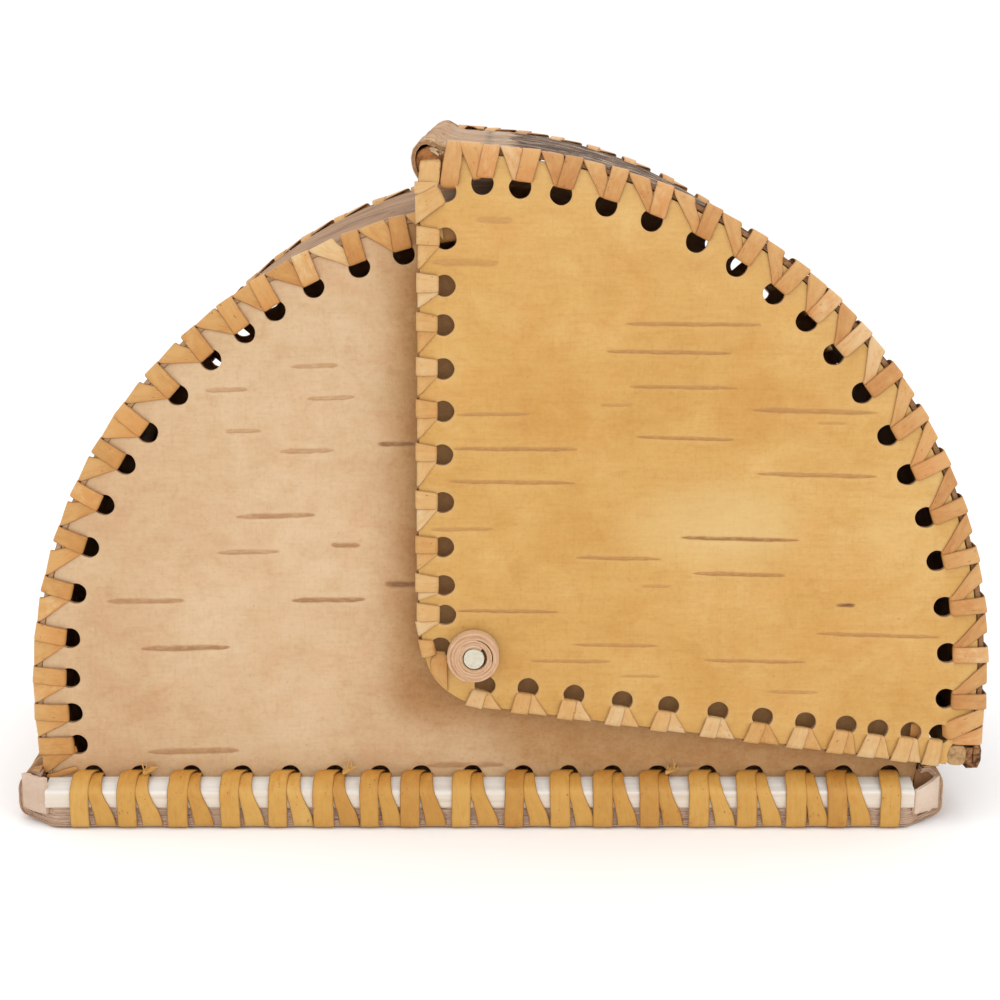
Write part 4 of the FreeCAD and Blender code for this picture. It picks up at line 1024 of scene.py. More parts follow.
def cover_normal(h):
    dx, dz = h[0] - CC[0], h[1] - CC[1]
    d = math.hypot(dx, dz)
    return (dx / d, dz / d), CC_R - d


carc_frames = []
for h in COVER_ARC_HOLES:
    n_, e_ = cover_normal(h)
    if h[1] < CC[1]:
        n_, e_ = (1.0, 0.0), X_SIDE - BAND / 2 - GAP - h[0]
    carc_frames.append((h, n_, (-n_[1], n_[0]), e_))

ROLL_S = 4.6 * math.radians(205.0)


def roll_bulge(a, b):
    t = min(1.0, max(0.0, (b + 80.0) / 160.0))
    s_ = ROLL_S - 1.5 + 2.0 * t
    w_ = (3.9 if a < s_ else 3.6) + 0.7 * t
    return (2.5 + 0.9 * min(1.0, max(0.0, (b + 80.0) / 160.0)) + 0.5 * noise.noise((b * 0.09, 1.0, 2.0)) + 0.25 * noise.noise((b * 0.4, 3.0, 2.0))) * \
        math.exp(-((a - s_) / w_) ** 2)


def foot_rough(a):
    return min(1.0, max(0.0, (a - (CL_ - 17.0)) / 5.0))


def cover_relief(s, y):
    out = []
    for a, b in zip(s, y):
        r = 0.16 * rnoise(a, b * 2.2, 0.16, 1) + 0.12 * rnoise(a, b, 0.55, 6) + 0.06 * noise.noise((a * 0.9, b * 0.12, 8))
        if a < ROLL_S + 12:                      # creases across the roll
            k = min(1.0, max(0.0, (ROLL_S + 12 - a) / 8.0))
            r += k * (0.34 * noise.noise((a * 0.16 + b * 0.05, b * 0.62, 3)) - 0.30 * abs(noise.noise((a * 0.22, b * 1.25, 5))))
            r += roll_bulge(a, b)
        k = foot_rough(a)
        if k > 0:
            r += k * (0.75 + 0.55 * noise.noise((a * 0.35, b * 0.35, 3)) + 0.35 * noise.noise((a * 1.1, b * 1.1, 5)))
        out.append(r - 0.05)
    return np.array(out)


def cover_relief_in(s, y):
    return np.array([(-roll_bulge(a, b) - 0.55 * min(1.0, max(0.0, (ROLL_S + 6 - a) / 4.0)) if a < ROLL_S + 12 else 0.0)
                     for a, b in zip(s, y)])


def cover_pink(s, y):
    out = []
    for a, b in zip(s, y):
        k = min(1.0, max(0.0, (ROLL_S + 4.4 + 1.6 * noise.noise((b * 0.25, 2, 1)) - a) / 1.6))
        j = min(1.0, max(0.0, (ROLL_S + 15.5 + 2.0 * noise.noise((b * 0.12, 4, 1)) - a) / 1.5))
        out.append(max(k, 0.42 * j))
    return np.array(out)


def cover_lent(s, y):
    """Dark creases round the roll, and a dark line across the band beyond it."""
    out = []
    for a, b in zip(s, y):
        v_ = 0.0
        if a < ROLL_S + 5:
            c_ = noise.noise((a * 0.22, b * 1.25, 5))
            v_ = max(0.0, 1 - abs(c_) / 0.10) * min(1, max(0, (a - ROLL_S + 6) / 3.0)) * min(1.0, (ROLL_S + 5 - a) / 2)
        d = a - (ROLL_S + 16.0 + 1.5 * noise.noise((b * 0.12, 5, 1)) + 0.6 * noise.noise((b * 0.6, 5, 1)))
        v_ = max(v_, math.exp(-(d / 0.55) ** 2))
        out.append(v_)
    return np.array(out)


def cover_scale(s, y):
    # pale near the rolled end, dark flaking scales from there on
    a = np.clip((s - (ROLL_S + 19.0)) / 7.0, 0, 1)
    n_ = 0.24 * np.clip((ROLL_S + 16.0 - s) / 1.5, 0, 1)
    f = np.clip((s - (CL_ - 17.0)) / 5.0, 0, 1)
    return 0.08 + n_ + 0.64 * a + 0.4 * f


CL_ = COVP.length
build_band("vis_cover_arch_band", COVP, COVER_Y, BAND, carc_frames, BAND / 2 + GAP, (2.0, 1.4),
           ["cband", "bandin", "cedge", "roughbark"], "cover", cover_relief,
           [(0, ROLL_S + 8, 0.8), (CL_ - 16, CL_, 0.8)], scale=cover_scale, ragged=0.35, lent=cover_lent, pink=cover_pink,
           relief_in=cover_relief_in)


# ------------------------------------------------------------------ ribbons
class Strips:
    """Collects bark strips into one mesh."""
    def __init__(self):
        self.v, self.f, self.g = [], [], []

    def add(self, secs, thick=0.58, tone=0.5, seed=0, step=0.6, iters=3, crown=0.08, rough_edge=0.10, taper=0.0):
        """secs: list of (left point, right point)."""
        L = np.array([s[0] for s in secs], float)
        R = np.array([s[1] for s in secs], float)
        C = (L + R) / 2
        seg_ = np.hypot.reduce(np.diff(C, axis=0), axis=1) if False else np.sqrt((np.diff(C, axis=0) ** 2).sum(1))
        seg_ = np.maximum(seg_, 0.05)
        cum = np.concatenate([[0], np.cumsum(seg_)])
        n = max(4, int(cum[-1] / step))
        s = np.linspace(0, cum[-1], n + 1)
        Li = np.stack([np.interp(s, cum, L[:, k]) for k in range(3)], 1)
        Ri = np.stack([np.interp(s, cum, R[:, k]) for k in range(3)], 1)
        for _ in range(iters):
            Li[1:-1] = 0.25 * Li[:-2] + 0.5 * Li[1:-1] + 0.25 * Li[2:]
            Ri[1:-1] = 0.25 * Ri[:-2] + 0.5 * Ri[1:-1] + 0.25 * Ri[2:]
        Ci = (Li + Ri) / 2
        T = np.gradient(Ci, axis=0)
        T /= np.maximum(np.sqrt((T ** 2).sum(1))[:, None], 1e-9)
        W = Ri - Li
        wd = np.sqrt((W ** 2).sum(1))[:, None]
        Wn = W / np.maximum(wd, 1e-9)
        N = np.cross(T, Wn)
        N /= np.maximum(np.sqrt((N ** 2).sum(1))[:, None], 1e-9)
        for k in range(1, len(N)):
            if N[k] @ N[k - 1] < 0:
                N[k] = -N[k]
        for _ in range(3):
            N[1:-1] = 0.25 * N[:-2] + 0.5 * N[1:-1] + 0.25 * N[2:]
        N /= np.maximum(np.sqrt((N ** 2).sum(1))[:, None], 1e-9)
        h = thick / 2
        ring = [(0.0, 0.0), (0.018, 0.62), (0.07, 0.96), (0.28, 1.0), (0.5, 1.0), (0.72, 1.0), (0.93, 0.96), (0.982, 0.62),
                (1.0, 0.0), (0.982, -0.62), (0.93, -0.96), (0.5, -1.0), (0.07, -0.96), (0.018, -0.62)]
        m = len(ring)
        base = sum(len(q) for q in self.v)
        V, G = [], []
        for i in range(len(Ci)):
            a = s[i]
            jl = rough_edge * noise.noise((a * 0.45, seed * 3.7, 1.0))
            jr = rough_edge * noise.noise((a * 0.45, seed * 3.7, 5.0))
            tk = 1 + 0.12 * noise.noise((a * 0.3, seed * 1.9, 2.0))
            if taper and a > cum[-1] - taper:
                tk *= max(0.25, (cum[-1] - a) / taper)
            lft = Li[i] + Wn[i] * jl
            w_ = Ri[i] + Wn[i] * jr - lft
            for (ac, hh) in ring:
                bulge = crown * (1 - (2 * ac - 1) ** 2) * (1 if True else 0)
                V.append(lft + w_ * ac + N[i] * (hh * h * tk + bulge * self.sign))
                G.append((a * 0.001, ac, tone))
        F = []
        for i in range(len(Ci) - 1):
            for k in range(m):
                k2 = (k + 1) % m
                F.append((base + i * m + k, base + i * m + k2, base + (i + 1) * m + k2, base + (i + 1) * m + k))
        F.append(tuple(base + k for k in range(m))[::-1])
        e = base + (len(Ci) - 1) * m
        F.append(tuple(e + k for k in range(m)))
        self.v.append(np.array(V))
        self.g.append(np.array(G))
        self.f += F

    sign = 0.0

    def make(self, name, mat, body, nodes):
        o = add_mesh(name, np.concatenate(self.v), self.f, [mat], None, {"gr": np.concatenate(self.g)}, True, body, nodes)
        fix_winding(o)
        return o


def PT(fr, a, b, q, side, yf, qf):
    h, n, t, e = fr
    x = h[0] + a * n[0] + b * t[0]
    z = h[1] + a * n[1] + b * t[1]
    return (x, side * (yf + q + qf(h[0] + 0.5 * e * n[0], h[1] + 0.5 * e * n[1], side)), z)


def lace_run(st, frames, side, yf, qf, tb, tones, seed0, skip_s=(), skip_d=(), a_in=1.7, c_in=-0.6, w_in=2.5,
             c_out=-0.8, w_out=2.75, push=0.8, dpush=0.6, dmax=7.0, fill=0.3, own=False, lean=0.0):
    """Whipped edge: an upright strip at each hole over a slanted strip to the next."""
    rr = random.Random(seed0)

    def val(q, fr):
        return q(fr) if callable(q) else q
    co = [val(c_out, fr) + rr.uniform(-0.15, 0.15) for fr in frames]
    wo = [w_out + rr.uniform(-0.15, 0.15) for fr in frames]
    lim = math.sqrt(max(1.0, HOLE_R ** 2 - a_in ** 2)) - 0.08
    for k, fr in enumerate(frames):
        e = fr[3]
        o = e + tb
        ci, w, wi, u = c_in + rr.uniform(-0.15, 0.15), wo[k], w_in + rr.uniform(-0.1, 0.1), val(push, fr)
        lift = rr.uniform(0.0, 0.10)
        if k not in skip_s:
            if tb > 0:
                top = [(a_in, 0.15), (a_in + 0.25, 0.52 + lift), (a_in + 1.0, 0.70 + lift), (0.5 * (3.0 + o), 0.76 + lift)]
                pre = [(a_in + 0.6, -(BARK + 0.8), 2.0, 0.3), (a_in + 0.4, -1.5, 2.1, 0.5), (a_in + 0.08, -0.4, wi - 0.15, 0.9)]
                top += [(o - 0.6, 0.74), (o + u - 0.25, 0.62), (o + u, 0.15), (o + u, -0.6), (o + u - 0.02, -3.0)]
                post = [(o + u - 0.2, -6.0, w - 0.3, 0.6), (o + 0.1, -7.6, w - 0.7, 0.3), (o - 1.2, -8.1, 2.3, 0.3),
                        (e - 1.6, -8.3, 2.2, 0.3), (e * 0.55, -6.3, 2.2, 0.3), (3.0, -(BARK + 1.0), 2.2, 0.3),
                        (2.5, -(BARK + 0.6), 2.0, 0.3)]
            else:
                top = [(a_in, 0.15), (a_in + 0.25, 0.48 + lift), (a_in + 1.0, 0.62 + lift), (0.5 * (3.0 + o), 0.66 + lift)]
                pre = [(a_in + 0.3, -1.3, 2.1, 0.7), (a_in + 0.08, -0.4, wi - 0.15, 0.9)]
                top += [(o - 0.5, 0.64), (o + 0.42, 0.45), (o + 0.62, 0.0), (o + 0.66, -1.0), (o + 0.5, -(BARK + 0.15)),
                        (o - 0.5, -(BARK + 0.58))]
                post = [(0.5 * (2.6 + o), -(BARK + 0.6), w, 1.0), (2.9, -(BARK + 0.56), w - 0.2, 1.0),
                        (2.3, -(BARK + 0.1), 2.3, 0.8), (2.2, -1.4, 2.1, 0.7)]
            path = [(a, q, hw, ci * g) for (a, q, hw, g) in pre]
            for (a, q) in top:
                f = min(1.0, max(0.0, (a - a_in) / (o - a_in)))
                path.append((a, q, wi + (w - wi) * f, ci + (co[k] - ci) * f))
            path += [(a, q, hw, co[k] * g) for (a, q, hw, g) in post]
            secs = []
            for (a, q, hw, c) in path:
                r_ = lean if (tb > 0 and a > o - 0.7 and q > -4) else 0.0
                secs.append((PT(fr, a + max(0, -r_), c - hw, q, side, yf, qf), PT(fr, a + max(0, r_), c + hw, q, side, yf, qf)))
            st.add(secs, 0.56, rr.choice(tones) + rr.uniform(-0.07, 0.07), seed0 + k)
        if k + 1 < len(frames) and k not in skip_d:
            f2 = frames[k + 1]
            e2 = f2[3]
            o2 = e2 + tb
            u2 = val(dpush, f2)
            p0 = PT(fr, o, 0, 0, side, yf, qf)
            p1 = PT(f2, o2, 0, 0, side, yf, qf)
            gap = math.hypot(p1[0] - p0[0], p1[2] - p0[2])
            near, far = co[k + 1] - wo[k + 1], co[k] + wo[k] - gap
            nd = max(2.6, min(near - far + fill + rr.uniform(-0.2, 0.2), dmax + rr.uniform(-0.3, 0.4)))
            if own:
                r0 = far - 0.35
                r1 = min(near + 0.2, r0 + nd + 0.35)
            else:
                r1 = near + 0.12
                r0 = r1 - nd

            def A(a, b0, b1, q, f=fr):
                return (PT(f, a, b0, q, side, yf, qf), PT(f, a, b1, q, side, yf, qf))
            if tb > 0:
                secs = [A(a_in + 0.7, -1.2, 2.0, -(BARK + 0.6)), A(a_in + 0.4, -1.2, 2.1, -1.3), A(a_in + 0.05, -1.2, lim - 0.1, -0.3),
                        A(a_in + 0.05, -1.2, lim, 0.1), A(a_in + 0.5, -1.2, lim + 0.05, 0.30), A(o2 - 0.4, r0, r1 - 0.55, 0.34, f2),
                        A(o2 + u2 - 0.2, r0, r1 - 0.1, 0.26, f2), A(o2 + u2, r0, r1, -0.15, f2), A(o2 + u2, r0 * 0.97, r1 + 0.05, -1.0, f2),
                        A(o2 + 0.5 * u2 + 0.15, r0 * 0.62 - 0.6, 0.2 + r1 * 0.6, -3.4, f2), A(o2 + 0.2, -2.6, 2.2, -7.0, f2),
                        A(o2 - 0.9, -2.4, 2.2, -7.9, f2), A(e2 - 0.8, -2.2, 2.2, -8.1, f2)]
            else:
                secs = [A(a_in + 0.3, -1.2, 2.1, -1.3), A(a_in + 0.05, -1.2, lim - 0.1, -0.3), A(a_in + 0.05, -1.2, lim, 0.08),
                        A(a_in + 0.5, -1.2, lim + 0.05, 0.28), A(o2 - 0.4, r0, r1 - 0.4, 0.30, f2), A(o2 + 0.18, r0, r1, 0.1, f2),
                        A(o2 + 0.30, r0, r1, -1.0, f2), A(o2 + 0.16, r0, r1, -(BARK + 0.05), f2), A(o2 - 0.6, r0, r1, -(BARK + 0.26), f2),
                        A(3.0, -2.6, 2.0, -(BARK + 0.26), f2), A(2.3, -2.2, 1.8, -1.4, f2)]
            st.add(secs, 0.5, rr.choice(tones) + rr.uniform(-0.08, 0.08), seed0 + 50 + k)


def arc_angle(fr):
    return math.degrees(math.atan2(fr[0][1] - CC[1], fr[0][0] - CC[0]))


def arc_c(fr):
    return float(np.interp(arc_angle(fr), [-1, 4, 15, 20, 25.6, 30.5, 38, 46, 51, 56.6, 61.8, 67.3, 73, 78, 82.7, 87],
                           [-.75, -1.1, -1.0, .15, -.4, .8, -.2, -.6, -1.5, -.7, 0, .3, -.8, -1.5, -2.0, -2.1]))


def arc_u(fr):
    return float(np.interp(arc_angle(fr), [-1, 30, 50, 62, 70, 78, 87], [.95, 1.0, 1.35, 1.2, .9, .6, .5]))


def bot_c(fr):
    return float(np.interp(fr[0][0], [1, 20, 135, 145], [-1.6, -1.9, -2.4, -1.35]))


left_frames = [(h, (-l_in[0], -l_in[1]), (l_in[1], -l_in[0]), 7.0) for h in COVER_LEFT_HOLES]
bot_frames = [(h, (-b_in[0], -b_in[1]), (b_in[1], -b_in[0]), 7.0) for h in COVER_BOTTOM_HOLES]


def inside_cover(x, z):
    if x < -10:
        x -= left_push(z)
    if math.hypot(x - CC[0], z - CC[1]) > CC_R or x < CL_X0 + CL_SLOPE * (z - 60.0) or z < CB_Z0 + CB_SLOPE * (x - 6.15):
        return False
    if x < F_BOT[0] and z < F_LEFT[1] and math.hypot(x - FC[0], z - FC[1]) > FIL_R:
        return False
    return True


def with_edge(h, n):
    a = 0.0
    while inside_cover(h[0] + n[0] * a, h[1] + n[1] * a) and a < 12.0:
        a += 0.02
    n = (float(n[0]), float(n[1]))
    return (h, n, (-n[1], n[0]), a)


ns = [(-l_in[0], -l_in[1])] * (len(COVER_LEFT_HOLES) - 1) + [(-math.cos(math.radians(12)), -math.sin(math.radians(12)))]
left_frames = [with_edge(h, n) for h, n in zip(COVER_LEFT_HOLES, ns)]
ns = [(-math.sin(math.radians(15)), -math.cos(math.radians(15)))] + [(-b_in[0], -b_in[1])] * (len(COVER_BOTTOM_HOLES) - 1)
bot_frames = [with_edge(h, n) for h, n in zip(COVER_BOTTOM_HOLES, ns)]

for side, tag in ((-1, "front"), (1, "back")):
    st = Strips()
    lace_run(st, arch_frames, side, SHELL_Y, q_shell, BAND + GAP, [0.25, 0.35, 0.45, 0.5, 0.6, 0.75, 0.9], 100 + side,
             a_in=1.2, c_in=-0.2, w_in=2.95, c_out=-0.85, w_out=2.8, push=0.85, dpush=0.75, dmax=8.6, fill=0.7, lean=0.35)

    def Q(x, z, q, side=side):
        return (x, side * (SHELL_Y + q - 0.1), z)
    st.add([(Q(-128.9, 24.2, -1.6), Q(-128.4, 22.2, -1.6)), (Q(-130.4, 23.6, 0.0), Q(-129.9, 21.4, 0.0)),
            (Q(-131.6, 23.2, 0.3), Q(-131.2, 20.9, 0.3)), (Q(-137.0, 22.4, 0.3), Q(-137.2, 16.2, 0.3)),
            (Q(-138.9, 22.0, 0.1), Q(-138.9, 15.6, 0.1)), (Q(-139.2, 21.8, -0.8), Q(-139.2, 15.4, -0.8)),
            (Q(-139.0, 21.2, -4.0), Q(-139.0, 16.4, -4.0)), (Q(-138.6, 20.4, -7.6), Q(-138.6, 17.4, -7.6))], 0.5, 0.3, 921 + side,
           taper=1.2)
    st.add([(Q(-138.0, 15.3, 0.4), Q(-138.0, 13.9, 0.4)), (Q(-134.5, 16.4, 0.5), Q(-134.3, 14.6, 0.5)),
            (Q(-131.0, 17.6, 0.4), Q(-130.4, 15.6, 0.4)), (Q(-128.6, 18.2, 0.2), Q(-128.0, 16.4, 0.2))], 0.4, 0.25, 923 + side)
    if side == 1:      # loose runs of strip behind two holes of the back
        for (hx, hz, off, hw) in ((-91.7, 137.6, -1.8, 1.7), (-101.3, 126.0, -1.4, 2.0)):
            cx, cz = hx - 0.65 * off, hz - 0.76 * off
            st.add([(Q(cx - 0.76 * a + 0.65 * hw, cz + 0.65 * a + 0.76 * hw, -3.3), Q(cx - 0.76 * a - 0.65 * hw, cz + 0.65 * a - 0.76 * hw, -3.3))
                    for a in (-5.0, -3.0, 0.0, 3.0, 4.5)], 0.45, 0.3, 931 + int(off * 10), taper=1.0)
    st.make("vis_arch_lacing_" + tag, "tan", "shell", ("arch_lacing_" + tag,))
    st = Strips()
    lace_run(st, carc_frames, side, COVER_Y, q_cover, BAND + GAP, [0.2, 0.35, 0.45, 0.5, 0.65, 0.8, 0.95], 200 + side,
             skip_s=(len(carc_frames) - 1,), skip_d=(len(carc_frames) - 2,), a_in=1.75, c_in=-0.65, w_in=2.5, w_out=2.65,
             dmax=6.9, fill=0.1, lean=-0.3, c_out=arc_c, push=arc_u, dpush=lambda fr: max(0.35, arc_u(fr) - 0.25))

    def Q(x, z, q, side=side):
        return (x, side * (COVER_Y + q + 0.2), z)
    # the corner's own strip, leaning over the band's end, and the slanted strip under it
    st.add([(Q(-10.8, 199.6, -3), Q(-6.9, 199.6, -3)),
            (Q(-11.2, 200.3, -1), Q(-6.3, 200.3, -1)),
            (Q(-11.4, 200.9, 0.2), Q(-6.0, 200.8, 0.2)),
            (Q(-11.3, 202.4, 0.8), Q(-5.8, 202.2, 0.8)),
            (Q(-10.6, 207, 0.85), Q(-5.0, 206.8, 0.85)),
            (Q(-9.8, 211, 0.78), Q(-4.75, 210.4, 0.78)),
            (Q(-9.5, 212.7, 0.5), Q(-5.1, 212.3, 0.5)),
            (Q(-9.4, 213.3, -0.4), Q(-5.4, 213, -0.4)),
            (Q(-9.4, 213.4, -3.5), Q(-5.6, 213.2, -3.5)),
            (Q(-9.6, 212.9, -6.5), Q(-6.5, 212.8, -6.5)),
            (Q(-9.9, 211.6, -8), Q(-7.6, 211.4, -8)),
            (Q(-9.9, 209.4, -8.4), Q(-7.8, 209.2, -8.4))], 0.56, 0.42, 901 + side)
    st.add([(Q(-1.75, 202.4, -1.4), Q(0.5, 202.8, -1.4)),
            (Q(-1.75, 202.6, -0.2), Q(0.5, 203.0, -0.2)),
            (Q(-1.9, 203.3, 0.2), Q(0.6, 203.7, 0.2)),
            (Q(-2.4, 204.3, 0.32), Q(0.75, 204.5, 0.32)),
            (Q(-4.3, 208.8, 0.34), Q(1.4, 208.6, 0.34)),
            (Q(-5.9, 211.9, 0.3), Q(1.9, 211.3, 0.3)),
            (Q(-6.2, 212.5, 0.1), Q(1.6, 212.1, 0.1)),
            (Q(-6.3, 212.9, -0.5), Q(1.6, 212.5, -0.5)),
            (Q(-6.0, 213.1, -3.4), Q(0.9, 212.7, -3.4)),
            (Q(-4.0, 213.0, -6.9), Q(0.2, 212.6, -6.9)),
            (Q(-2.4, 212.2, -8.0), Q(0.4, 211.9, -8.0))], 0.5, 0.62, 903 + side)
    # strips round the lower corner, under the last stitch of the arc
    st.add([(Q(145.2, 33.9, -1.6), Q(145.6, 29.4, -1.6)),
            (Q(146.0, 34.8, 0), Q(146.6, 28.9, 0)),
            (Q(147.2, 35.6, 0.62), Q(147.9, 28.9, 0.62)),
            (Q(155.0, 38.9, 0.72), Q(155.4, 33.0, 0.72)),
            (Q(157.0, 39.7, 0.6), Q(157.1, 33.9, 0.6)),
            (Q(157.6, 40, -0.6), Q(157.6, 34.2, -0.6)),
            (Q(157.5, 41, -3.6), Q(157.5, 36.4, -3.6)),
            (Q(157.3, 43.6, -7.0), Q(157.3, 39.8, -7.0)),
            (Q(156.2, 43.8, -8.0), Q(156.2, 40.4, -8.0)),
            (Q(153.8, 43.8, -8.2), Q(153.8, 40.4, -8.2))], 0.5, 0.55, 905 + side)
    st.add([(Q(147.0, 29.6, -1.2), Q(147.4, 28.2, -1.2)),
            (Q(148.2, 29.4, 0), Q(148.4, 27.3, 0)),
            (Q(150.8, 30.6, 0.28), Q(150.4, 27.15, 0.28)),
            (Q(155.6, 32.6, 0.3), Q(155.6, 27.1, 0.3)),
            (Q(157.2, 33.2, 0.1), Q(157.2, 27.1, 0.1)),
            (Q(157.7, 33.4, -1), Q(157.7, 27.2, -1)),
            (Q(157.6, 34.4, -4.6), Q(157.6, 28.6, -4.6)),
            (Q(157.5, 35.4, -8.6), Q(157.5, 30.6, -8.6))], 0.5, 0.85, 907 + side, taper=1.5)
    if side == 1:
        st.add([(Q(98.4 + 0.76 * a - 1.3, 159.7 + 0.65 * a + 1.52, -2.65), Q(98.4 + 0.76 * a + 1.3, 159.7 + 0.65 * a - 1.52, -2.65))
                for a in (-5.0, -3.0, 0.0, 3.0)], 0.4, 0.3, 935, taper=1.0)
    st.make("vis_cover_arc_lacing_" + tag, "ctan", "cover", ("cover_arc_lacing_" + tag,))
    st = Strips()
    lace_run(st, left_frames, side, COVER_Y, q_cover, 0.0, [0.3, 0.5, 0.6, 0.8, 0.9], 300 + side,
             a_in=1.75, c_in=-0.5, w_in=2.5, c_out=-0.9, w_out=3.0, fill=-0.7, own=True, dmax=9.0)
    lace_run(st, bot_frames, side, COVER_Y, q_cover, 0.0, [0.3, 0.5, 0.6, 0.75, 0.9], 340 + side,
             a_in=1.95, c_in=-1.05, w_in=2.4, c_out=bot_c, w_out=2.7, dmax=6.4, fill=0.2, own=True)

    def Q(x, z, q, side=side):
        return (x, side * (COVER_Y + q + 0.2), z)
    # upper corner: pale strip rising into the hollow of the roll
    st.add([(Q(-17.9, 199.4, 0.35), Q(-12.4, 199.6, 0.35)), (Q(-17.9, 201.6, 0.45), Q(-11.6, 201.6, 0.45)),
            (Q(-17.6, 204.4, 0.55), Q(-11.2, 204.6, 0.55)), (Q(-17.4, 206.7, 0.45), Q(-11.0, 207.2, 0.45)),
            (Q(-17.3, 207.6, -0.5), Q(-11.2, 208.1, -0.5)), (Q(-17.1, 207.7, -3.0), Q(-11.4, 208.0, -3.0)),
            (Q(-16.8, 207.2, -5.5), Q(-11.6, 207.4, -5.5))], 0.6, 0.62, 911 + side)
    # its fold round the left edge
    st.add([(Q(-12.2, 201.7, 0.75), Q(-12.5, 201.1, 0.75)), (Q(-14.6, 201.9, 0.98), Q(-15.4, 199.4, 0.98)),
            (Q(-17.4, 202.0, 0.98), Q(-17.5, 198.2, 0.98)), (Q(-18.4, 202.0, 0.7), Q(-18.4, 198.1, 0.7)),
            (Q(-18.75, 201.9, 0.0), Q(-18.75, 198.1, 0.0)), (Q(-18.7, 201.7, -2.0), Q(-18.7, 198.3, -2.0)),
            (Q(-17.2, 201.4, -2.7), Q(-17.2, 198.5, -2.7))], 0.5, 0.75, 913 + side)
    # wide slanted strip from the corner hole down to the left edge
    st.add([(Q(-11.6, 199.2, -1.5), Q(-10.3, 196.4, -1.5)), (Q(-11.8, 200.0, -0.6), Q(-10.0, 196.2, -0.6)),
            (Q(-12.1, 200.6, 0.1), Q(-9.75, 195.8, 0.1)), (Q(-12.5, 200.9, 0.5), Q(-9.9, 195.5, 0.5)),
            (Q(-13.2, 200.9, 0.62), Q(-10.9, 194.8, 0.62)), (Q(-15.5, 199.9, 0.68), Q(-14.0, 192.6, 0.68)),
            (Q(-17.8, 198.6, 0.64), Q(-17.6, 190.0, 0.64)), (Q(-18.35, 198.2, 0.4), Q(-18.3, 189.5, 0.4)),
            (Q(-18.6, 197.9, -0.3), Q(-18.5, 189.3, -0.3)), (Q(-18.5, 197.6, -1.9), Q(-18.4, 189.2, -1.9)),
            (Q(-17.6, 197.4, -2.7), Q(-17.5, 189.2, -2.7)), (Q(-15.0, 196.0, -2.8), Q(-14.4, 188.4, -2.8)),
            (Q(-11.0, 188.6, -2.6), Q(-10.6, 184.6, -2.6))], 0.56, 0.5, 915 + side)
    # run behind the last hole of the lower edge
    st.add([(Q(135.6, 33.4, -2.62), Q(135.4, 28.6, -2.62)), (Q(137.6, 33.7, -2.7), Q(137.6, 28.4, -2.7)),
            (Q(139.0, 33.9, -2.75), Q(139.0, 28.2, -2.75)), (Q(140.2, 33.6, -2.75), Q(140.2, 28.8, -2.75))], 0.5, 0.0, 919 + side,
           taper=1.0)
    # strip folded down from the lowest hole round the corner by the peg
    st.add([(Q(-14.3, 57.4, -1.4), Q(-10.9, 57.2, -1.4)),
            (Q(-14.9, 56.2, -0.2), Q(-10.4, 56.3, -0.2)),
            (Q(-15.3, 55.4, 0.4), Q(-10.15, 55.5, 0.4)),
            (Q(-15.6, 53.8, 0.62), Q(-10.1, 51.6, 0.62)),
            (Q(-15.1, 51.3, 0.62), Q(-10.05, 46.0, 0.62)),
            (Q(-14.9, 50.7, 0.2), Q(-9.95, 44.9, 0.2)),
            (Q(-14.8, 50.5, -1), Q(-9.9, 44.7, -1)),
            (Q(-14.8, 50.8, -2.3), Q(-10, 45, -2.3)),
            (Q(-14.4, 53, -2.7), Q(-10.2, 49, -2.7))], 0.56, 0.2, 917 + side, taper=1.2)
    st.make("vis_cover_edge_lacing_" + tag, "pale", "cover", ("cover_edge_lacing_" + tag,))

# ------------------------------------------------------------------ base: floor, slats, lacing
xm = CURL_X - FLOOR_T / 2
rcl, rcb = 6.6, 3.6
hl, hr = CURL_TOP_L - FLOOR_T / 2, CURL_TOP_R - FLOOR_T / 2
l0 = max(0.6, (xm - rcl) - 139.9)
l1 = max(0.6, (xm - rcl) - 139.5)
FLOORP = Profile((-(xm - rcl) + l0, hl), 180.0,
                 [("L", l0), ("A", rcl, 90.0, 1), ("L", hl - FLOOR_T / 2 - rcl - rcb), ("A", rcb, 90.0, 1),
                  ("L", 2 * (xm - rcb)), ("A", rcb, 90.0, 1), ("L", hr - FLOOR_T / 2 - rcl - rcb), ("A", rcl, 90.0, 1),
                  ("L", l1)])


def plan_half(x):
    """Half-width of the floor in plan at x: corners trimmed towards the curled ends."""
    a = abs(x)
    if a < 134.6:
        return SLAT_Y - 0.2
    if a < 143.5:
        return SLAT_Y - 0.2 - (a - 134.6) / (143.5 - 134.6) * (SLAT_Y - 0.2 - 75.5)
    return 75.5


def lamina(st, smap, s0, s1, half, d0, d1, rag, seed, step):
    """One layer of a floor sheet, from depth d0 to d1, with torn edges."""
    pts = []
    def edge(s, k):
        x = smap(s, 0, 0)[0]
        r = rag * (0.55 * abs(noise.noise((s * 0.21, k, seed))) + 0.45 * abs(noise.noise((s * 0.9, k, seed + 3))) * 1.2)
        return half(x) - r
    for s in np.arange(s0, s1, 1.1):
        pts.append((s, -edge(s, 1.0)))
    for s in np.arange(s1, s0, -1.1):
        pts.append((s, edge(s, 6.0)))
    pts = np.array(pts)
    holes = []
    for x in BASE_STRIPS:
        ss = st["s_of_x"](x + 1.5)
        holes += [(ss, -67.0, HOLE_R), (ss, 67.0, HOLE_R)]

    def fmap(s, y, d):
        return smap(s, y, d0 + d)
    return sheet(pts, holes, fmap, d1 - d0, step, bevel=0.14)


def merge(parts):
    V, F, FM, UV, N = [], [], [], [], 0
    for v, f, fm, uv, n in parts:
        V.append(v); UV.append(uv)
        F += [tuple(i + N for i in q) for q in f]
        FM += fm
        N += len(v)
    return np.concatenate(V), F, FM, np.concatenate(UV)


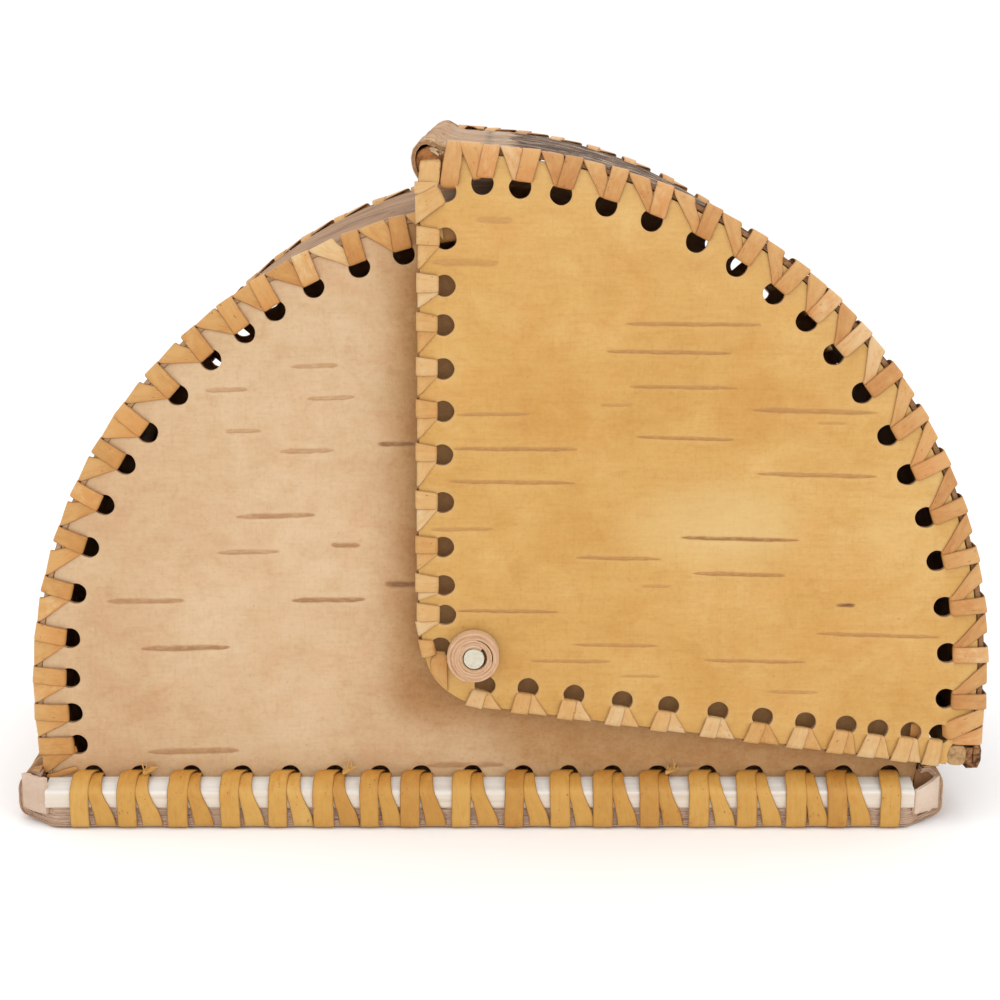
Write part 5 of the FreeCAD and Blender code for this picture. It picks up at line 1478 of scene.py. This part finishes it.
flat_start = l0 + rcl * math.pi / 2 + (hl - FLOOR_T / 2 - rcl - rcb) + rcb * math.pi / 2


def floor_map(s, y, d):
    p = FLOORP.off(min(max(s, 0.0), FLOORP.length), -(FLOOR_T / 2 - d))
    return (p[0], y, p[1] + 0.75 * max(0.0, 1.0 - p[1] / 7.0))


info = {"s_of_x": lambda x: flat_start + x + (xm - rcb)}
LF = FLOORP.length
parts = [lamina(info, floor_map, 0.5, LF - 0.5, plan_half, 0.02, 0.62, 0.5, 1.0, (5.0, 6.0)),
         lamina(info, floor_map, 0.0, LF, plan_half, 0.70, 1.48, 1.1, 2.0, (5.0, 6.0)),
         lamina(info, floor_map, 0.2, LF - 0.2, plan_half, 1.54, 2.28, 0.9, 3.0, (5.0, 6.0))]
V, F, FM, UV = merge(parts)
n1 = len(parts[0][1])
FM = [(0 if m == 0 else (3 if m == 2 else 2)) if i < n1 else ({0: 2, 1: 1, 2: 2}[m]) for i, m in enumerate(FM)]
gr = np.stack([UV[:, 0] * 0.001, UV[:, 1] * 0.001, np.zeros(len(UV))], 1)
zer = np.zeros(len(UV))
lentf = np.zeros(len(UV))
rl = random.Random(21)
for _ in range(60):       # dark lenticels across the curled ends
    sc = rl.choice([rl.uniform(2, 30), rl.uniform(LF - 30, LF - 2)])
    yc, w = rl.uniform(-72, 72), rl.uniform(5, 16)
    lentf = np.maximum(lentf, np.exp(-((UV[:, 0] - sc) / 0.9) ** 2) * (np.abs(UV[:, 1] - yc) < w))
o = add_mesh("vis_floor_outer_sheet", V, F, ["skin", "floorin", "floor", "edge"], FM,
             {"gr": gr, "scale": zer + 0.45, "lent": lentf, "ldark": zer, "wear": zer}, True, "shell",
             ("floor_outer_sheet",))
fix_winding(o)

def corner_face(sx, sy, ztop0, ztop1, seed):
    """Inner layers of the floor bark, turned up and cut across at a corner of the base."""
    p0 = np.array([sx * 137.35, sy * 82.3])
    p1 = np.array([sx * 146.1, sy * 76.1])
    L = float(np.hypot(*(p1 - p0)))
    u_ = (p1 - p0) / L
    nrm = np.array([-u_[1], u_[0]])
    if nrm @ np.array([sx, sy]) < 0:
        nrm = -nrm
    pts = []
    for t in np.linspace(0, 1, 14):
        x = 137.35 + t * 8.75
        zlow = 4.75 - math.sqrt(max(0.0, 4.6 ** 2 - max(0.0, x - 142.65) ** 2)) + 0.3
        pts.append((t * L, max(zlow, 4.6 + 0.5 * noise.noise((t * 6, 1, seed)))))
    for t in np.linspace(1, 0, 14):
        pts.append((t * L, ztop0 + (ztop1 - ztop0) * t + 0.5 * noise.noise((t * 5, 2, seed)) - 0.3 * (t > 0.96)))

    def fm_(u, v, d):
        k = 0.55 * math.sin(math.pi * min(1, max(0, u / L))) - d - 0.1
        q = p0 + u_ * u + nrm * k
        return (q[0], q[1], v)
    return sheet(pts, [], fm_, 1.5, 1.1, bevel=0.2,
                 relief=lambda u, v: np.array([0.16 * noise.noise((a * 0.5, b * 0.22, seed)) + 0.05 * noise.noise((a * 2.2, b * 0.5, seed))
                                               for a, b in zip(u, v)]))


for nm, z0, hx, sd in (("floor_middle_sheet", FLOOR_T, 139.4, 11.0), ("floor_inner_sheet", 2 * FLOOR_T, 141.4, 15.0)):
    def fmap2(s, y, d, z0=z0):
        z = z0 + d
        return (s, y, z + 0.75 * max(0.0, 1.0 - z / 7.0))
    inf = {"s_of_x": lambda x: x}
    def half2(x):
        return plan_half(x) - 0.0
    parts = [lamina(inf, fmap2, -hx, hx, half2, 0.04, 0.78, 1.3, sd, (7.0, 7.0)),
             lamina(inf, fmap2, -hx + 0.4, hx - 0.3, half2, 0.86, 1.52, 1.0, sd + 1, (7.0, 7.0)),
             lamina(inf, fmap2, -hx + 0.2, hx - 0.5, half2, 1.60, 2.27, 1.5, sd + 2, (7.0, 7.0))]
    if nm == "floor_inner_sheet":
        nflat = sum(len(p_[1]) for p_ in parts)
        for sx, zt0, zt1 in ((-1, 16.4, 16.2), (1, 12.2, 15.4)):
            for sy in (-1, 1):
                parts.append(corner_face(sx, sy, zt0, zt1, 3.0 * sx + sy))
        nface = sum(len(p_[1]) for p_ in parts)
        for sx, ztop in ((-1, 15.2), (1, 16.4)):           # turned-up end of the inner layer, closing the curl; its dark brown is painted shade for the hollow of the curl
            for sy in (-1, 1):
                pl_ = [(137.6, 7.4), (144.6, 7.4), (145.6, 9.0), (145.6, ztop - 2.0), (144.0, ztop), (138.6, ztop + 0.4)]
                pl_ = [tuple(q) for q in resample(np.array(pl_ + [pl_[0]]), 1.5)[:-1]]
                parts.append(sheet(pl_, [], lambda u, v, d, sx=sx, sy=sy: (sx * u, sy * (74.4 - d + 0.3 * math.sin(u * 1.1)), v),
                                   1.4, 1.5, bevel=0.2))
    else:
        nflat = nface = 10 ** 9
    V, F, FM, UV = merge(parts)
    zer = np.zeros(len(UV))
    FM = [({0: 0, 1: 1, 2: 0}[m] if i < nflat else (1 if i < nface else 2)) for i, m in enumerate(FM)]
    o = add_mesh("vis_" + nm, V, F, ["floor", "floorin", "curl_plate_painted_shade"], FM, {"lent": zer, "ldark": zer, "wear": zer}, True, "shell",
                 (nm,))
    fix_winding(o)


def build_slat(side, tag):
    prof = [(0.0, 6.98), (2.5, 6.95), (5.0, 6.95), (7.2, 6.97), (7.72, 7.12), (7.9, 7.6), (7.93, 8.6), (7.9, 9.8), (7.93, 11.0),
            (7.88, 11.8), (7.7, 12.25), (7.25, 12.55), (6.2, 12.95), (5.0, 13.35), (3.6, 13.8), (2.2, 14.15), (1.0, 14.4),
            (0.0, 14.5)]
    prof = [(a, b - 10.0) for a, b in prof]
    xs = np.arange(SLAT_X0, SLAT_X1 + 1.5, 2.0)
    xs[-1] = SLAT_X1
    V, F = [], []
    for i, x in enumerate(xs):
        endk = 1.0
        for j, (dy, dz) in enumerate(prof):
            k = 1 + 0.016 * noise.noise((x * 0.06, j * 0.8, side * 3.0)) + 0.01 * noise.noise((x * 0.4, j * 1.5, side * 5.0))
            k2 = min(1.0, k)
            xx = x
            if i == 0:
                xx = x + 0.3 * noise.noise((j * 0.9, 1, side))
            if i == len(xs) - 1:
                xx = x + 0.3 * noise.noise((j * 0.9, 4, side))
            V.append((xx, side * (SHELL_Y + GAP + dy * k2), 10.0 + dz * k2))
    m = len(prof)
    for i in range(len(xs) - 1):
        for j in range(m):
            j2 = (j + 1) % m
            F.append((i * m + j, i * m + j2, (i + 1) * m + j2, (i + 1) * m + j))
    F.append(tuple(range(m)))
    F.append(tuple((len(xs) - 1) * m + j for j in range(m)))
    o = add_mesh("vis_%s_slat" % tag, V, F, ["slat"], None, None, True, "shell", ("%s_slat" % tag,))
    fix_winding(o)


for side, tag in ((-1, "front"), (1, "back")):
    build_slat(side, tag)
    st = Strips()
    rr = random.Random(500 + side)
    for i, (xs_, xh) in enumerate(zip(BASE_STRIPS, BASE_HOLES)):
        w = 3.1 + rr.uniform(-0.15, 0.2)
        xj = xs_ + rr.uniform(-0.2, 0.2)
        lean = rr.uniform(-0.3, 0.3)
        path = [(xh - 0.6, 72.3, 14.9, 2.3), (xh - 0.9, 73.6, 16.1, 2.6), (0.5 * (xh + xj) - 0.2, 75.3, 16.6, w - 0.1),
                (xj + 0.2, 76.9, 16.35, w), (xj, 78.8, 15.4, w), (xj, 80.9, 14.25, w), (xj, 82.6, 13.25, w), (xj, 83.35, 12.2, w),
                (xj, 83.5, 10.8, w), (xj + lean * .5, 83.6, 8.3, w), (xj + lean, 83.7, 5.2, w), (xj + lean, 83.72, 3.0, w),
                (xj + lean, 83.66, 1.8, w), (xj + lean, 83.2, 0.95, w), (xj + lean, 82.0, 0.5, w), (xj + lean, 77.0, 0.42, w),
                (xs_ + 0.6, 73.0, 0.42, w), (xs_ + 1.5, 68.2, 0.5, 2.7), (xs_ + 1.5, 67.0, 2.0, 2.5), (xs_ + 1.5, 66.8, 5.5, 2.5),
                (xs_ + 1.6, 67.3, 7.5, 2.6), (xs_ + 1.8, 70.0, 7.75, 2.7), (xs_ + 2.2, 72.0, 8.5, 2.5), (xh - 0.6, 72.3, 12.6, 2.3)]
        secs = [((x - hw, side * y, z), (x + hw, side * y, z)) for (x, y, z, hw) in path]
        st.add(secs, 0.6, rr.choice([0.15, 0.3, 0.4, 0.5, 0.65]) + rr.uniform(-.08, .08), 600 + i, iters=4)
        if i + 1 < len(BASE_STRIPS):
            xn = BASE_STRIPS[i + 1]
            w = 2.45 + rr.uniform(-0.1, 0.1)
            right = min(11.3 + rr.uniform(-0.3, 0.3), xn - xs_ - 2.4)
            xa = xs_ + 4.3 + rr.uniform(-0.25, 0.25)
            xb = xs_ + right - 3.25

            def X(f):
                return xa + (xb - xa) * min(1.0, f)
            path = [(xh + 1.4, 72.5, 14.4, 2.0), (xh + 1.6, 73.8, 15.2, 2.2), (0.5 * (xh + 1.4 + xa), 75.4, 15.75, w - .3),
                    (xa, 76.9, 15.6, w), (X(.02), 78.8, 14.85, w), (X(.06), 80.9, 14.0, w), (X(.12), 82.4, 13.2, w),
                    (X(.22), 83.12, 12.1, w), (X(.36), 83.2, 10.4, w + .1), (X(.58), 83.22, 8.0, w + .35), (X(.82), 83.22, 5.4, w + .6),
                    (X(.95), 83.2, 3.2, w + .75), (X(1), 83.15, 1.9, w + .8), (X(1), 82.7, 0.95, w + .8), (X(1), 81.6, 0.46, w + .8),
                    (X(1), 77.0, 0.36, w + .6), (0.5 * (xb + xn + 1.5), 73.0, 0.34, w), (xn + 1.5, 68.0, 0.4, 2.5), (xn + 1.5, 67.6, 2.0, 2.3)]
            secs = [((x - hw, side * y, z), (x + hw, side * y, z)) for (x, y, z, hw) in path]
            st.add(secs, 0.5, rr.choice([0.15, 0.3, 0.4, 0.5, 0.7]) + rr.uniform(-.08, .08), 650 + i, iters=4)
    for fx, kk in ((-106.9, 0), (-43.6, 1), (58.6, 2)):       # frayed ends of strips
        for j in range(9):
            wide = j < 2
            x0 = fx + (0.0 if wide else rr.uniform(0.2, 3.2))
            z0 = 16.5 + 0.35 * j * wide + (0.0 if wide else rr.uniform(0.3, 1.8))
            x1 = x0 + (rr.uniform(3.4, 4.6) if wide else rr.uniform(-1.2, 1.8))
            z1 = z0 + (rr.uniform(1.0, 1.9) if wide else rr.uniform(1.0, 2.8))
            hw = rr.uniform(0.45, 0.7) if wide else rr.uniform(0.09, 0.2)
            y0, y1 = 77.6 - 0.3 * j * wide, rr.uniform(75.6, 76.6)
            xm_, zm_ = 0.5 * (x0 + x1), 0.5 * (z0 + z1) + rr.uniform(-0.2, 0.5)
            tx, tz = (z1 - z0), -(x1 - x0)
            tl = max(1e-6, math.hypot(tx, tz))
            tx, tz = tx / tl, tz / tl
            st.add([((x - tx * hw * k, side * y, z - tz * hw * k), (x + tx * hw * k, side * y, z + tz * hw * k))
                    for (x, y, z, k) in ((x0, y0, z0, 1.0), (xm_, 0.5 * (y0 + y1) + 0.3, zm_, 0.9), (x1, y1, z1, 0.5))],
                   0.3 if wide else 0.16, rr.uniform(0.6, 1.0), 700 + 10 * kk + j, step=0.4, taper=1.0, crown=0.02, iters=1)
    st.make("vis_base_lacing_" + tag, "ochre", "shell", ("base_lacing_" + tag,))


# ------------------------------------------------------------------ pegs, rolls, sticks
def build_roll(name, y0, y1, side, node, turns=3.45, r0=None, r1=None, crack=False):
    """Strip of bark wound round the peg."""
    r0 = PEG_R + 0.05 if r0 is None else r0
    r1 = ROLL_R if r1 is None else r1
    tt = (r1 - 0.05 - r0) / turns
    th_t = tt * 0.90
    n = int(turns * 46)
    V, F, FM, G = [], [], [], []
    ya, yb = y0 * side, y1 * side              # inner face, outer face
    rs_ = random.Random(5)
    lay = [rs_.uniform(-0.30, 0.0) for _ in range(int(turns) + 3)]
    for i in range(n + 1):
        th = 2 * math.pi * turns * i / n
        r = r0 + (turns - 1) * tt * (i / n)
        wob = 0.10 * noise.noise((th * 0.9, turns, 2.0)) + 0.05 * noise.noise((th * 3.1, turns, 5.0))
        t_ = th_t * (1 + 0.10 * noise.noise((th * 1.3, 3.0, 1.0)))
        turn = th / (2 * math.pi)
        phi = math.degrees(th + 0.9) % 360.0
        if crack and 1.45 < turn < 2.75 and (phi < 82.0 or phi > 344.0):
            t_ *= 0.62
        if i > n - 8:
            t_ *= 0.55 + 0.45 * (n - i) / 8
        fr_ = turn - int(turn)
        pro = lay[int(turn)] * (1 - fr_) + lay[int(turn) + 1] * fr_
        pro += 0.10 * noise.noise((th * 0.5, 7.0, 3.0)) + 0.06 * noise.noise((th * 2.7, 2.0, 3.0)) - 0.05
        ca, sa = math.cos(th + 0.9), math.sin(th + 0.9)
        for (rr_, yy) in ((r + wob, ya), (r + wob, yb + side * (pro - 0.22)), (r + wob + 0.16 * t_, yb + side * (pro - 0.03)),
                          (r + wob + 0.5 * t_, yb + side * pro), (r + wob + 0.84 * t_, yb + side * (pro - 0.03)),
                          (r + wob + t_, yb + side * (pro - 0.25)), (r + wob + t_, ya)):
            rr_ = min(rr_, r1)
            V.append((PIVOT[0] + rr_ * ca, yy, PIVOT[1] + rr_ * sa))
            G.append((th * 0.005, rr_ * 0.001, yy * 0.001))
    m = 7
    for i in range(n):
        for k in range(m):
            k2 = (k + 1) % m
            F.append((i * m + k, i * m + k2, (i + 1) * m + k2, (i + 1) * m + k))
            FM.append(0 if k in (1, 2, 3, 4) else 1)
    F.append(tuple(range(m))); FM.append(0)
    F.append(tuple(n * m + k for k in range(m))); FM.append(0)
    z = np.zeros(len(V))
    o = add_mesh(name, V, F, ["roll", "rollside"], FM, {"gr": np.array(G), "scale": z + 0.3, "lent": z, "pink": z}, True, "shell",
                 (node,))
    fix_winding(o)


def build_rod(name, cx, cz, r, y0, y1, mats, body, node, seed, facets=18, rough=0.03, dome=0.5, step=3.0,
              rf=None, sq=2.0, rz=None):
    V, F, FM = [], [], []
    ys = [y0, y0 + 0.25 * dome, y0 + dome] + list(np.arange(y0 + dome + step, y1 - dome - 0.5 * step, step)) + \
         [y1 - dome, y1 - 0.25 * dome, y1]
    sc = [1 - 0.42 * dome / r, 1 - 0.14 * dome / r, 1.0]
    for i, y in enumerate(ys):
        k = sc[i] if i < 3 else (sc[len(ys) - 1 - i] if i >= len(ys) - 3 else 1.0)
        if rf is not None:
            k *= rf(abs(y))
        for j in range(facets):
            a = 2 * math.pi * j / facets
            q = 1 - rough * abs(noise.noise((math.cos(a) * 1.4, math.sin(a) * 1.4, y * 0.03 + seed))) - \
                0.4 * rough * abs(noise.noise((math.cos(a) * 4, math.sin(a) * 4, y * 0.3 + seed)))
            ux = math.copysign(abs(math.cos(a)) ** (2 / sq), math.cos(a))
            uz = math.copysign(abs(math.sin(a)) ** (2 / sq), math.sin(a))
            V.append((cx + r * k * q * ux, y, cz + (rz or r) * k * q * uz))
    m = facets
    for i in range(len(ys) - 1):
        for j in range(m):
            j2 = (j + 1) % m
            F.append((i * m + j, i * m + j2, (i + 1) * m + j2, (i + 1) * m + j)); FM.append(0)
    for e, i in ((0, 0), (1, len(ys) - 1)):       # ends: a centre point slightly off plane
        c = len(V)
        y = ys[i]
        V.append((cx + 0.2, y + (0.12 if e == 0 else -0.12), cz - 0.1))
        kr = rf(abs(y)) if rf is not None else 1.0
        half = []
        for j in range(m):
            a = 2 * math.pi * j / m
            k = 0.5 * r * kr
            half.append(len(V))
            V.append((cx + k * math.cos(a), y + 0.14 * noise.noise((math.cos(a) * 2, math.sin(a) * 2, seed + e)), cz + k * math.sin(a)))
        for j in range(m):
            j2 = (j + 1) % m
            F.append((i * m + j, i * m + j2, half[j2], half[j])); FM.append(len(mats) - 1)
            F.append((half[j], half[j2], c)); FM.append(len(mats) - 1)
    o = add_mesh(name, V, F, mats, FM, None, True, body, (node,) if node else ())
    fix_winding(o)
    return o


for side, tag in ((-1, "front"), (1, "back")):
    build_roll("vis_outer_roll_" + tag, COVER_Y + 1.38, COVER_Y + 6.0, side, "outer_roll_" + tag, 4.55, 3.2, 8.62, True)
    build_roll("vis_inner_roll_" + tag, SHELL_Y - BARK - 0.3, SHELL_Y - BARK - 6.0, side, "inner_roll_" + tag, 3.2)
    ya, yb = sorted((side * (COVER_Y + 6.4), side * (SHELL_Y - BARK - 7.0)))
    build_rod("vis_pivot_peg_" + tag, PIVOT[0], PIVOT[1], PEG_R, ya, yb, ["peg"], "shell", "pivot_peg_" + tag,
              30.0 + side, facets=20, rough=0.02, dome=0.5, step=0.6,
              rf=lambda y: 0.82 if y > COVER_Y + 1.3 else (0.965 if y > SHELL_Y + 0.5 else 1.0))

build_rod("vis_arch_end_stick", ARCH_ROLL[0], ARCH_ROLL[1], 2.9, -(SHELL_Y - BARK - 0.2), SHELL_Y - BARK - 0.2, ["stick"],
          "shell", "arch_end_stick", 3.0, rough=0.06, dome=0.7)
def add_splinters(o, cx, cz, r, side, y_in, seed, n=34):
    """Torn fibres at a stick's broken end, joined to its mesh."""
    rr_ = random.Random(seed)
    st_ = Strips()
    for i in range(n):       # they lean down to the right, across the upper half of the hollow
        x0 = cx + rr_.uniform(-3.4, 1.6)
        z0 = cz + 1.2 - 0.42 * (x0 - cx) + rr_.uniform(-1.7, 1.3)
        x1 = x0 + rr_.uniform(1.2, 4.2)
        z1 = z0 - 0.34 * (x1 - x0) + rr_.uniform(-0.7, 1.2)
        y1 = rr_.uniform(y_in + 1.2, COVER_Y + 0.15)
        hw = rr_.uniform(0.18, 0.62)
        t_ = math.pi / 2 + rr_.uniform(-0.5, 0.3)
        dx, dz = hw * math.cos(t_), hw * math.sin(t_)
        st_.add([((x0 - dx, side * (y_in - 1.5), z0 - dz), (x0 + dx, side * (y_in - 1.5), z0 + dz)),
                 (((x0 + x1) / 2 - dx, side * (y_in + y1) / 2, z0 - dz + 0.1), ((x0 + x1) / 2 + dx, side * (y_in + y1) / 2, z0 + dz + 0.1)),
                 ((x1 - dx * .4, side * y1, z1 - dz * .4), (x1 + dx * .4, side * y1, z1 + dz * .4))], 0.26, 0.5, i, step=0.6,
                taper=1.5, crown=0.0, iters=2)
    import bmesh
    V_ = np.concatenate(st_.v) * 0.001
    bm = bmesh.new()
    bm.from_mesh(o.data)
    vs = [bm.verts.new(tuple(c)) for c in V_]
    for f in st_.f:
        try:
            nf = bm.faces.new([vs[i] for i in f])
            nf.material_index = 1
            nf.smooth = True
        except ValueError:
            pass
    bmesh.ops.recalc_face_normals(bm, faces=bm.faces)
    bm.to_mesh(o.data)
    bm.free()
    o.data.materials.append(M["splinter"])
    for f in o.data.polygons:
        f.use_smooth = True


o = build_rod("vis_cover_top_stick", C_TOP[0] - 0.5, C_TOP[1] + 1.2, 4.6, -(COVER_Y - 1.7), COVER_Y - 1.7, ["corner"], "cover",
              "cover_top_stick", 5.0, rough=0.14, dome=0.9, rz=4.6, sq=2.2)
add_splinters(o, C_TOP[0] + 0.9, C_TOP[1] + 3.9, 3.3, -1, COVER_Y - 2.6, 3)
add_splinters(o, C_TOP[0] + 0.9, C_TOP[1] + 3.9, 3.3, 1, COVER_Y - 2.6, 8)
C_BOT = (149.9, 23.5)
build_rod("vis_cover_bottom_stick", C_BOT[0], C_BOT[1], 3.0, -COVER_Y, COVER_Y, ["stick"], "cover", "cover_bottom_stick",
          8.0, rough=0.05, dome=0.5, sq=3.6, rz=3.4)

# ------------------------------------------------------------------ floor, light, camera
me = bpy.data.meshes.new("studio_floor")
me.from_pydata([(-30, -8, 0), (30, -8, 0), (30, 50, 0), (-30, 50, 0)], [], [(0, 1, 2, 3)])
fl = bpy.data.objects.new("studio_floor", me)
bpy.context.scene.collection.objects.link(fl)
mf = bpy.data.materials.new("studio_white")
mf.use_nodes = True
pb = mf.node_tree.nodes["Principled BSDF"]
pb.inputs["Base Color"].default_value = (0.97, 0.97, 0.97, 1)
pb.inputs["Roughness"].default_value = 0.9
pb.inputs["Specular IOR Level"].default_value = 0.0
me.materials.append(mf)

w = bpy.data.worlds.new("studio")
w.use_nodes = True
w.node_tree.nodes["Background"].inputs[0].default_value = (1.0, 1.0, 1.0, 1)
w.node_tree.nodes["Background"].inputs[1].default_value = 1.045
bpy.context.scene.world = w


def area_light(name, loc, target, sx, sy, power, col=(1, 1, 1)):
    l = bpy.data.lights.new(name, "AREA")
    l.shape = "RECTANGLE"
    l.size, l.size_y, l.energy, l.color = sx, sy, power, col
    o = bpy.data.objects.new(name, l)
    o.location = loc
    o.rotation_euler = (Vector(target) - Vector(loc)).to_track_quat("-Z", "Y").to_euler()
    bpy.context.scene.collection.objects.link(o)
    return o


area_light("top_softbox", (0.10, -0.25, 1.30), (0, 0, 0.08), 1.3, 1.0, 3.6)
area_light("right_softbox", (1.10, -0.85, 0.75), (0, 0, 0.08), 0.9, 0.9, 2.6)
area_light("front_softbox", (-0.55, -1.35, 0.75), (0, 0, 0.08), 1.1, 0.9, 1.8)
area_light("left_softbox", (-1.20, -0.1, 0.6), (0, 0, 0.08), 0.8, 0.8, 0.8)
area_light("back_softbox", (0.2, 1.3, 0.9), (0, 0, 0.08), 1.2, 0.8, 1.2)

cam = bpy.data.cameras.new("camera")
cam.lens, cam.sensor_width = 66.19, 36.0
cam.clip_start, cam.clip_end = 0.02, 60
co = bpy.data.objects.new("camera", cam)
co.location = (0.00617, -0.625, 0.23406)
co.rotation_euler = (math.radians(76.79), 0, 0)
bpy.context.scene.collection.objects.link(co)
bpy.context.scene.camera = co
bpy.context.scene.view_settings.view_transform = "Standard"
